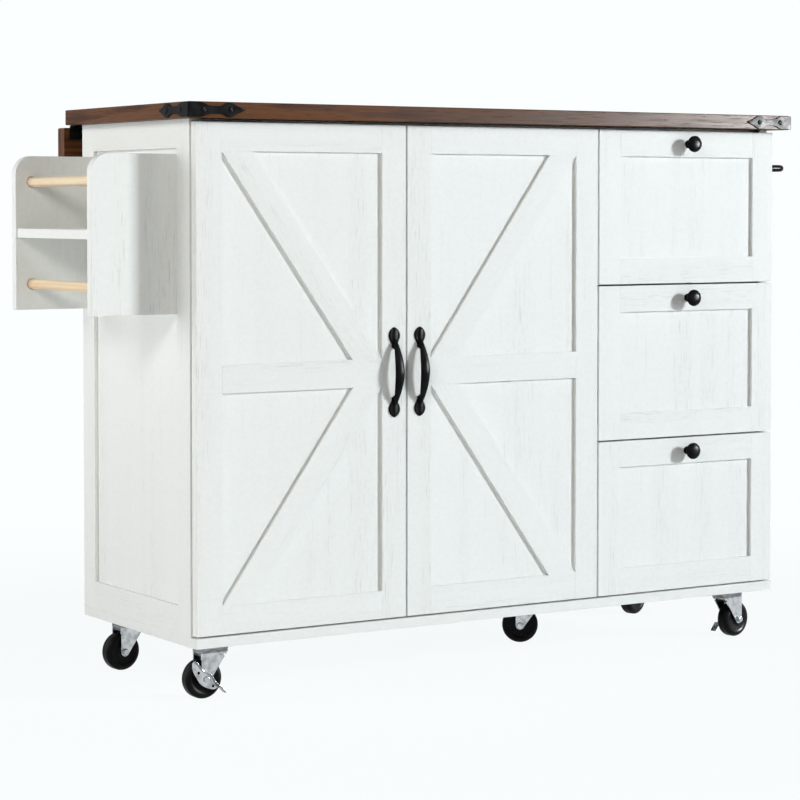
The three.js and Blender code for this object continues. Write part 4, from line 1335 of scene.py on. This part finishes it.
@dataclass
class SpiceRack:
    """Two boards on the cabinet's left side with a shelf and two dowels between them.

    Attributes:
        reach: X of the boards' outer edges.
        rise: Their lower and upper ends.
        boards: Y of each board's front and rear face.
        inner: X at which they meet the side panel.
        radius: The rounding of their outer upper corners.
        shelf: The shelf's underside and top.
        dowel_x: X of the dowels.
        dowel_zs: Their heights.
        dowel_radius: Their radius.
        held: How far they reach into the boards.
        hole_radius: The radius of the boards' holes.
        hole_ys: Where the front and the rear holes start, from the boards' inner faces.
    """

    reach: float = -146
    rise: Flat = (606, 856)
    boards: tuple[Flat, Flat] = ((61, 76), (345, 360))
    inner: float = 6
    radius: float = 30
    shelf: Flat = (723.5, 738.5)
    dowel_x: float = -117.5
    dowel_zs: Flat = (648, 814)
    dowel_radius: float = 8
    held: float = 7.7
    hole_radius: float = 9
    hole_ys: Flat = (-8, -6)

    def build(self, island: Island) -> None:
        """Builds the boards with their blind holes, the shelf and the dowels."""
        paint, (z0, z1), r = island.finishes.whitewash, self.rise, self.radius
        corner = arc((self.reach + r, z1 - r), r, 90, 180, 20)
        outline = [(self.inner, z0), (self.inner, z1), *corner, (self.reach, z0)]
        front, rear = self.boards[0][1], self.boards[1][0]
        bore = rod(self.hole_radius, 0, 14)
        starts = (front + self.hole_ys[0], rear + self.hole_ys[1])
        for name, (y0, y1), start in zip(("front", "rear"), self.boards, starts):
            holes = [turned(bore, (self.dowel_x, start, z), Y, 40) for z in self.dowel_zs]
            board = carved(extruded(outline, Y, y0, y1, 0.7), holes)
            island.stand_in(f"rack_{name}_board", board, Z, paint)
        shelf = block((self.reach + 3, front, self.shelf[0]), (self.inner, rear, self.shelf[1]), 0.7)
        island.stand_in("rack_shelf", shelf, Y, paint)
        start, end = front - self.held, rear + self.held
        long, r, blunt = end - start, self.dowel_radius, self.dowel_radius - 0.6
        for name, z in zip(("lower", "upper"), self.dowel_zs):
            profile = [(0, 0), (blunt, 0), (r, 0.8), (r, long - 0.8), (blunt, long), (0, long)]
            dowel = turned(profile, (self.dowel_x, start, z), Y, 40)
            island.stand_in(f"rack_dowel_{name}", dowel, Y, island.finishes.pine, banded=False)


@dataclass
class TowelRail:
    """A black tube bent at both ends, on two roses.

    Attributes:
        side: The cabinet's right face.
        legs: Y of the two legs.
        reach: X of the tube's middle along the rail.
        z: The rail's height.
        bend: Radius of its bends.
        radius: Radius of the tube.
    """

    side: float = 1160
    legs: Flat = (39.5, 381.5)
    reach: float = 1220
    z: float = 843
    bend: float = 18
    radius: float = 6

    def build(self, island: Island) -> None:
        """Builds the tube and its two roses."""
        (y0, y1), r, x0, x1 = self.legs, self.bend, self.side + 0.5, self.reach
        path = [(x0, y0)]
        path += [(x1 - r, y0), *arc((x1 - r, y0 + r), r, -90, 0, 12)[1:-1], (x1, y0 + r)]
        path += [(x1, y1 - r), *arc((x1 - r, y1 - r), r, 0, 90, 12)[1:-1], (x1 - r, y1), (x0, y1)]
        tube = swept([Vector((x, y, self.z)) for x, y in path], self.radius, 32)
        shape = Shape("towel_rail_dressed").take(tube, Y)
        disc, collar = [(0, 0), (11, 0), (11, 1.2), (10.4, 2.3), (8.8, 3.0)], [(7.0, 3.0), (6.6, 4.6)]
        rose = [*disc, *collar, (5.9, 5.0), (0, 5.0)]
        for y in self.legs:
            shape.take(turned(rose, (self.side, y, self.z), X, 40), X)
        island.piece(shape, island.finishes.enamel, "cabinet", ["towel_rail"])


# ---- casters


@dataclass
class Caster:
    """A swivel caster in its own frame: the swivel is Z and the wheel trails along +X.

    Attributes:
        name: The end of its nodes' names.
        place: X and Y of its swivel axis.
        heading: The direction in which it trails, in degrees from +X.
        brake: True if it has a brake lever.
        trail: How far the axle trails behind the swivel.
        axle_z: The axle's height.
        radius: The tyre's radius.
        plate_bottom: The underside of the mounting plate.
        plate_thickness: Its thickness.
        plate_half: Half its side.
        bolts: How far its bolts are from its middle, both ways.
        crown: The underside and the top of the fork's crown.
        leg_ys: The inner and the outer face of a fork leg.
        lever_y: The inner face of the brake lever.
        upper: The lever's upper edge, from the axle.
        lower: Its lower edge.
        pedal: The pedal's outline.
    """

    name: str
    place: Flat
    heading: float
    brake: bool = False
    trail: float = 17
    axle_z: float = 31.7262
    radius: float = 31.72
    plate_bottom: float = 85.5
    plate_thickness: float = 2.6
    plate_half: float = 30
    bolts: float = 23
    crown: Flat = (77.7, 80.2)
    leg_ys: Flat = (12.6, 15.1)
    lever_y: float = 15.45
    upper: tuple[Flat, ...] = (
        (-22, -10.7), (-15.9, -4.1), (-10.9, 3.3), (-7.6, 7.6), (-2.6, 11.1),
        (4.0, 13.7), (10.1, 19.2), (14.4, 25.6), (18.8, 29.9),
    )
    lower: tuple[Flat, ...] = (
        (21.5, 30.6), (24.2, 27.6), (24.8, 22.5), (24.4, 17.7), (21.7, 10.5), (17.3, 3.2),
        (11.8, -5.3), (5.2, -10.4), (-2.6, -14.1), (-10.3, -16.4), (-15.9, -16.0), (-20.6, -13.8),
    )
    pedal: tuple[Flat, ...] = (
        (-18.0, -8.0), (-23.6, -13.4), (-29.6, -20.6), (-30.4, -22.4),
        (-28.8, -22.6), (-22.4, -15.6), (-18.6, -11.8),
    )

    def build(self, island: Island) -> None:
        """Builds the plate, the fork with its race and axle, the wheel and the brake lever."""
        x, y = self.place
        matrix = Matrix.Translation((x, y, 0)) @ Matrix.Rotation(math.radians(self.heading), 4, "Z")
        zinc, rubber = island.finishes.zinc, island.finishes.rubber
        self.mounting_plate(island)
        self.fork(island, matrix)
        hardware = Shape(f"caster_race_{self.name}")
        lower_race = [(0, 80.2), (23.6, 80.2), (24.6, 80.9), (24.6, 81.8), (23.8, 82.5)]
        race = [*lower_race, (22.4, 83.0), (23.6, 83.4), (24, 84.5), (23.2, 85.1), (0, 85.1)]
        rivet = [(0, 73.6), (4.4, 73.6), (5.4, 74.4), (5.4, 77.7), (0, 77.7)]
        hardware.take(turned(race, (0, 0, 0), Z, 48), Z, matrix=matrix)
        hardware.take(turned(rivet, (0, 0, 0), Z, 24), Z, matrix=matrix)
        self.axle(hardware, matrix)
        island.piece(hardware, zinc, f"caster_{self.name}")
        wheel = Shape(f"caster_wheel_{self.name}_dressed")
        wheel.take(self.tyre(), Y, matrix=matrix)
        wheel.take(self.core(), Y, matrix=matrix)
        island.piece(wheel, rubber, f"wheel_{self.name}", [f"caster_wheel_{self.name}"])
        if self.brake:
            self.lever(island, matrix)

    def mounting_plate(self, island: Island) -> None:
        """Builds the plate under the base board and its four bolts."""
        (x, y), low, half = self.place, self.plate_bottom, self.plate_half
        shape = Shape(f"caster_plate_{self.name}")
        outline = cornered((x - half, y - half), (x + half, y + half), 5, 5)
        shape.take(extruded(outline, Z, low, low + self.plate_thickness, 0.4), X)
        bolt = [(0, 0), (4.6, 0), (4.6, 0.5), (4.1, 1.4), (2.9, 2.2), (0, 2.6)]
        for dx in (-self.bolts, self.bolts):
            for dy in (-self.bolts, self.bolts):
                shape.take(turned(bolt, (x + dx, y + dy, low), -Z, 20), Z)
        island.piece(shape, island.finishes.zinc, "cabinet")

    def fork(self, island: Island, matrix: Matrix) -> None:
        """Builds the pressed fork: a bent channel, cut to the outline of its legs."""
        inner, outer = self.leg_ys
        top, under, bend = self.crown[1], self.crown[0], 5.0
        thick = outer - inner
        foot = self.axle_z - 8
        outside = [(outer, foot), *arc((outer - bend, top - bend), bend, 0, 90, 8)]
        inside = [(inner, foot), *arc((inner - bend + thick, under - bend + thick), bend - thick, 0, 90, 6)]
        # Up the outside of one leg, over the crown and down the other, then back along the inside.
        section = [*outside, *[(-y, z) for y, z in reversed(outside)], *[(-y, z) for y, z in inside]]
        section += list(reversed(inside))
        nose = self.trail - 39
        outline = [
            (self.trail + 7.6, top + 1), (nose, top + 1), (nose, top - 6), (nose + 1.5, top - 9),
            *arc((self.trail, self.axle_z), 7.6, 212, 360, 14),
        ]
        shape = Shape(f"caster_fork_{self.name}_dressed")
        channel = extruded(section, X, nose - 1, self.trail + 8)
        fork = carved(channel, [extruded(outline, Y, -20, 20)], "INTERSECT")
        hole = turned(rod(1.9, -20, 20), (nose + 5.5, 0, 68.0), Y, 20)
        shape.take(carved(fork, [hole]), X, matrix=matrix)
        island.piece(shape, island.finishes.zinc, f"caster_{self.name}", [f"caster_fork_{self.name}"], 0.35)
        # The lip stands round the crown in two pressed steps, in darker plating that paints the shade under
        # the base board.
        lip = Shape(f"caster_lip_{self.name}")
        for grow, low, high in ((1.9, 72.6, 75.8), (1.1, 75.6, 77.0), (2.3, 76.8, 80.9)):
            corners = (nose - grow, -outer - grow), (self.trail + 7.6 + grow, outer + grow)
            outside, inside = (cornered(*corners, bend + grow, 6, inset) for inset in (0.0, grow))
            lip.take(self.band(outside, inside, low, high), Z, matrix=matrix)
        island.piece(lip, island.finishes.dark_zinc, f"caster_{self.name}")

    @staticmethod
    def band(outside: Sequence[Flat], inside: Sequence[Flat], low: float, high: float) -> Solid:
        """Returns an upright wall between two level outlines of equally many points."""
        rings = []
        for outer, inner in zip(outside, inside):
            section = ((*outer, low), (*outer, high), (*inner, high), (*inner, low))
            rings.append([Vector(point) for point in section])
        return rounded(lofted(rings, closed=True), 0.35, 2)

    def axle(self, shape: Shape, matrix: Matrix) -> None:
        """Adds the axle bolt with a spacer and a hexagon on each side."""
        centre, outer = (self.trail, 0, self.axle_z), self.leg_ys[1]
        shape.take(turned(rod(3, -20, 20), centre, Y, 20), Y, matrix=matrix)
        for side in (-1, 1):
            if not (self.brake and side > 0):
                spacer = [(0, outer), (5.4, outer), (5.4, 17.2), (5.0, 17.6), (0, 17.6)]
                shape.take(turned(spacer, centre, side * Y, 24), Y, matrix=matrix)
            head = [(0, 17.7), (5.4, 17.7), (5.4, 19.6), (4.6, 20.2), (0, 20.2)]
            shape.take(rounded(turned(head, centre, side * Y, 6), 0.3, 1), Y, matrix=matrix)

    def tyre(self) -> Solid:
        """Returns the tyre, with round shoulders and a fine groove to the core."""
        r, half = self.radius, 12.2
        side = [(20.5, half - 1.6), (22.0, half - 0.5), (24.0, half - 0.1)]
        for a in (math.radians(step) for step in (12, 26, 40, 54, 66, 76, 84)):
            side.append((24.0 + (r - 24.0) * math.sin(a), half - 7.5 + 7.4 * math.cos(a)))
        profile = [*side, (r, half - 8.4), (r, 8.4 - half), *[(radius, -y) for radius, y in reversed(side)]]
        return ringed([*profile, (18, 1.6 - half), (18, half - 1.6)], (self.trail, 0, self.axle_z), Y, 96)

    def core(self) -> Solid:
        """Returns the wheel's core: a dished disc round a hub."""
        hub = [(3.5, 11.6), (8.6, 11.6), (9.4, 11.1), (10.0, 10.2)]
        side = [*hub, (12.0, 9.8), (17.0, 9.9), (18.6, 10.6), (20.2, 10.5)]
        profile = [*side, *[(radius, -y) for radius, y in reversed(side)]]
        return ringed(profile, (self.trail, 0, self.axle_z), Y, 64)

    def lever(self, island: Island, matrix: Matrix) -> None:
        """Builds the brake lever: a pierced plate with a folded edge, a rivet and a pedal."""
        ax, az, y0 = self.trail, self.axle_z, self.lever_y
        rim = eased(self.upper, 4)

        def cut(edge: Sequence[Flat], low: float, high: float, bevel: float, steps: int) -> Solid:
            return extruded([(ax + x, az + z) for x, z in edge], Y, y0 + low, y0 + high, bevel, steps)

        holes = [
            turned(rod(radius, 0, 12), (ax + x, y0 - 2, az + z), Y, 24)
            for x, z, radius in ((0, 0, 3.6), (13.9, 11.7, 2.3), (-11.4, -11.2, 2.3))
        ]
        shape = Shape(f"brake_lever_{self.name}_dressed")
        plate = cut([*rim, *eased(self.lower, 4)], 0, 1.7, 0.5, 3)
        shape.take(carved(plate, holes), X, matrix=matrix)
        rivet = [(0, 0), (4.2, 0), (4.2, 0.8), (3.2, 1.6), (0, 1.9)]
        shape.take(turned(rivet, (ax + 0.5, y0 + 1.6, az + 0.5), Y, 24), Y, matrix=matrix)
        island.piece(shape, island.finishes.zinc, f"brake_{self.name}", [f"brake_lever_{self.name}"])
        # The upper edge is folded outwards and runs on into the pedal; both are in darker plating, which is
        # painted shade.
        pressed = Shape(f"brake_pedal_{self.name}")
        fold = [*rim, *[(x + 1.0, z - 1.9) for x, z in reversed(rim)]]
        pressed.take(cut(fold, 1.0, 4.6, 0.45, 2), X, matrix=matrix)
        pressed.take(cut(self.pedal, 0, 10.5, 0.5, 3), X, matrix=matrix)
        island.piece(pressed, island.finishes.dark_zinc, f"brake_{self.name}")


# ---- studio


@dataclass
class Studio:
    """The camera, the lamps, the white surroundings and the floor.

    Attributes:
        camera: The camera's place.
        yaw: How far it is turned from +Y towards +X, in degrees.
        tilt: How far it looks down, in degrees.
        lens: Its focal length in millimetres, on a sensor 36 mm wide.
        shift: Its upright shift.
        surroundings: The colour that the camera and the reflections see.
        ambient: The surroundings' light on the island.
        floor: The floor's colour.
        share: How much of the floor near the island shows the surroundings' white.
        fade: From where to where the floor turns all white, in metres from its middle.
    """

    camera: Point = (-2.3447, -3.6657, 0.7737)
    yaw: float = 32.265
    tilt: float = 2.208
    lens: float = 113.5
    shift: float = -0.12
    surroundings: Colour = (0.968, 1.0, 1.0)
    ambient: float = 0.06
    floor: Colour = (0.86, 0.88, 0.88)
    share: float = 0.93
    fade: Flat = (0.7, 2.2)

    def build(self) -> None:
        """Builds the whole studio."""
        bpy.context.scene.view_settings.view_transform = "Standard"
        self.place_camera()
        self.hang_lamps()
        self.surround()
        self.lay_floor()

    def place_camera(self) -> None:
        """Sets the scene's camera."""
        data = bpy.data.cameras.new("camera")
        data.lens, data.sensor_width, data.shift_y = self.lens, 36.0, self.shift
        data.clip_end = 100
        camera = bpy.data.objects.new("camera", data)
        yaw, tilt = math.radians(self.yaw), math.radians(self.tilt)
        ahead = Vector((math.sin(yaw) * math.cos(tilt), math.cos(yaw) * math.cos(tilt), -math.sin(tilt)))
        camera.location = self.camera
        camera.rotation_euler = ahead.to_track_quat("-Z", "Y").to_euler()
        bpy.context.scene.collection.objects.link(camera)
        bpy.context.scene.camera = camera

    @staticmethod
    def lamp(
        name: str, place: Point, target: Point, size: Flat, power: float, colour: Colour
    ) -> bpy.types.Object:
        """Hangs a softbox.

        Args:
            name: Its name.
            place: Where it hangs.
            target: What it points at.
            size: Its width and height.
            power: Its power in watts.
            colour: The colour of its light.

        Returns:
            The lamp.
        """
        data = bpy.data.lights.new(name, "AREA")
        data.shape, data.size, data.size_y = "RECTANGLE", *size
        data.energy, data.color = power, colour
        lamp = bpy.data.objects.new(name, data)
        lamp.location = place
        lamp.rotation_euler = (Vector(target) - Vector(place)).to_track_quat("-Z", "Y").to_euler()
        lamp.visible_camera = False
        bpy.context.scene.collection.objects.link(lamp)
        return lamp

    def hang_lamps(self) -> None:
        """Hangs the key and its glint at the right front, and two fills at the left."""
        # The key shows in no reflection. Its glint lights nothing, and shows in lacquer and metal.
        cool, warm, pale, white = (0.915, 0.97, 1.0), (1.0, 0.955, 0.89), (0.975, 1.0, 1.0), (0.97, 0.99, 1.0)
        key = self.lamp("key", (9.0, -8.0, 3.8), (0.0, -0.1, 0.6), (1.75, 1.75), 1330, cool)
        key.visible_glossy = False
        self.lamp("left_front", (-2.6, -1.9, 1.9), (-0.5, 0.1, 0.7), (0.7, 0.7), 25, warm)
        self.lamp("left_wall", (-3.2, 1.1, 1.3), (-0.5, 0.0, 0.5), (2.4, 2.2), 54, pale)
        glint = self.lamp("glint", (2.3, -1.9, 0.89), (0.5, -0.2, 0.9), (0.45, 0.53), 325, white)
        glint.visible_diffuse = False

    def surround(self) -> None:
        """Makes the surroundings white to the camera and to reflections, and dimmer as a light."""
        world = bpy.data.worlds.new("studio")
        bpy.context.scene.world = world
        world.use_nodes = True
        graph = Graph(world.node_tree)
        background = world.node_tree.nodes["Background"]
        background.inputs["Color"].default_value = (*self.surroundings, 1.0)
        graph.put(background.inputs["Strength"], self.seen(graph, self.ambient))

    @staticmethod
    def seen(graph: Graph, otherwise: float) -> Socket:
        """Returns 1 for rays from the camera, reflections and glass, and another value for the rest."""
        rays = graph.add("LightPath").outputs
        seen = graph.math("MAXIMUM", rays["Is Camera Ray"], rays["Is Glossy Ray"])
        seen = graph.math("MAXIMUM", seen, rays["Is Transmission Ray"])
        return graph.add("MapRange", {0: seen, 3: otherwise, 4: 1.0}).outputs[0]

    def lay_floor(self) -> None:
        """Lays a pale floor that keeps a faint shadow of the island."""
        sheet = bmesh.new()
        bmesh.ops.create_grid(sheet, x_segments=1, y_segments=1, size=20.0)
        mesh = bpy.data.meshes.new("floor")
        sheet.to_mesh(mesh)
        sheet.free()
        material = bpy.data.materials.new("floor")
        material.use_nodes = True
        graph, nodes = Graph(material.node_tree), material.node_tree.nodes
        matt = nodes["Principled BSDF"]
        matt.inputs["Base Color"].default_value = (*self.floor, 1.0)
        matt.inputs["Roughness"].default_value = 0.9
        matt.inputs["Specular IOR Level"].default_value = 0.1
        glow = graph.add("Emission", {"Color": (*self.surroundings, 1.0), "Strength": 1.0})
        away = graph.vector("MULTIPLY", graph.add("TexCoord").outputs["Object"], (1.0, 1.0, 0.0))
        distance = graph.add("VectorMath", {0: away}, operation="LENGTH").outputs["Value"]
        white = graph.between(distance, *self.fade, self.share, 1.0)
        share = graph.math("MULTIPLY", self.seen(graph, 0.0), white)
        both = graph.add("MixShader", {0: share, 1: matt.outputs[0], 2: glow.outputs[0]})
        graph.put(nodes["Material Output"].inputs["Surface"], both.outputs[0])
        mesh.materials.append(material)
        floor = bpy.data.objects.new("floor", mesh)
        bpy.context.scene.collection.objects.link(floor)


# ---- main


def build_fronts(island: Island) -> None:
    """Builds the doors with their handles, and the drawers with their knobs and boxes."""
    low, high, gap, width = 107.0, 905.0, 3.0, 45.0
    inset, cup_rise = width / 2, 95
    middle = (low + high) / 2
    rails = (low, middle - width / 2, high - width)
    upper = (middle + width / 2, high - width)
    lower = (low + width, middle - width / 2)
    cup_zs = (low + cup_rise, high - cup_rise)
    for name, span, mirrored in (("left", (2.5, 384.767), False), ("right", (388.567, 771.433), True)):
        left, right = span[0] + inset, span[1] - inset
        cup_x, handle_x = (right, left) if mirrored else (left, right)
        FramedFront(
            f"door_{name}", f"door_{name}", span, (low, high), rails,
            ((*upper, not mirrored), (*lower, mirrored)), tuple((cup_x, z) for z in cup_zs),
        ).build(island)
        BowHandle(f"door_handle_{name}", f"door_{name}", handle_x).build(island)
    span = (775.233, 1157.5)
    height = (high - low - 2 * gap) / 3
    for i, level in enumerate(("lower", "middle", "upper")):
        z0 = low + i * (height + gap)
        rails = (z0, z0 + height - width)
        rise = (z0, z0 + height)
        FramedFront(f"drawer_front_{level}", f"drawer_{level}", span, rise, rails).build(island)
        MushroomKnob(level, sum(span) / 2, z0 + height - inset).build(island)
        DrawerBox(level, z0).build(island)


def keep_hidden_metal(island: Island) -> None:
    """Dresses the metal nodes whose CAD shape is right."""
    zinc, enamel = island.finishes.zinc, island.finishes.enamel
    for level in ("lower", "middle", "upper"):
        for side in ("left", "right"):
            island.keep(f"runner_{side}_{level}", zinc, 0.3)
    for side in ("left", "right"):
        island.keep(f"leaf_stay_{side}", enamel, 0.8)
        for level in ("lower", "upper"):
            island.keep(f"hinge_arm_{side}_{level}", zinc, 0.6)
            island.keep(f"hinge_cup_{side}_{level}", zinc, 0.4)
    for half in ("fixed", "moving"):
        island.keep(f"leaf_hinge_{half}_half", enamel, 0.2)


def main() -> None:
    """Builds the island and the studio."""
    logging.basicConfig(level=logging.INFO, format="%(name)s: %(message)s")
    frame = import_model()
    log.info("frame with %d nodes", len(frame["nodes"]))
    low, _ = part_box("base_board")
    to_row = Matrix.Translation((low.x, low.y, 0)) @ Matrix.Scale(MM, 4)
    island = Island(Effects(), Finishes(), to_row)
    Studio().build()
    Carcass().build(island)
    build_fronts(island)
    WalnutBoard("worktop", "cabinet", (-20, -20, 910), (1180, 428, 935)).build(island)
    leaf = (tuple(to_row.inverted() @ corner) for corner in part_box("drop_leaf"))
    WalnutBoard("drop_leaf", "leaf", *leaf, Y).build(island)
    CornerBracket("left", (-20, -20, 922.5), -1).build(island)
    CornerBracket("right", (1180, -20, 922.5), 1).build(island)
    LeafSupport().build(island)
    SpiceRack().build(island)
    TowelRail().build(island)
    for caster in (
        Caster("front_left", (56, 56), 180, brake=True),
        Caster("front_right", (1104, 56), 10, brake=True),
        Caster("rear_left", (56, 347), 185),
        Caster("rear_right", (1104, 347), 20),
        Caster("middle", (773.333, 201.5), 145),
    ):
        caster.build(island)
    keep_hidden_metal(island)


if __name__ == "__main__":
    main()
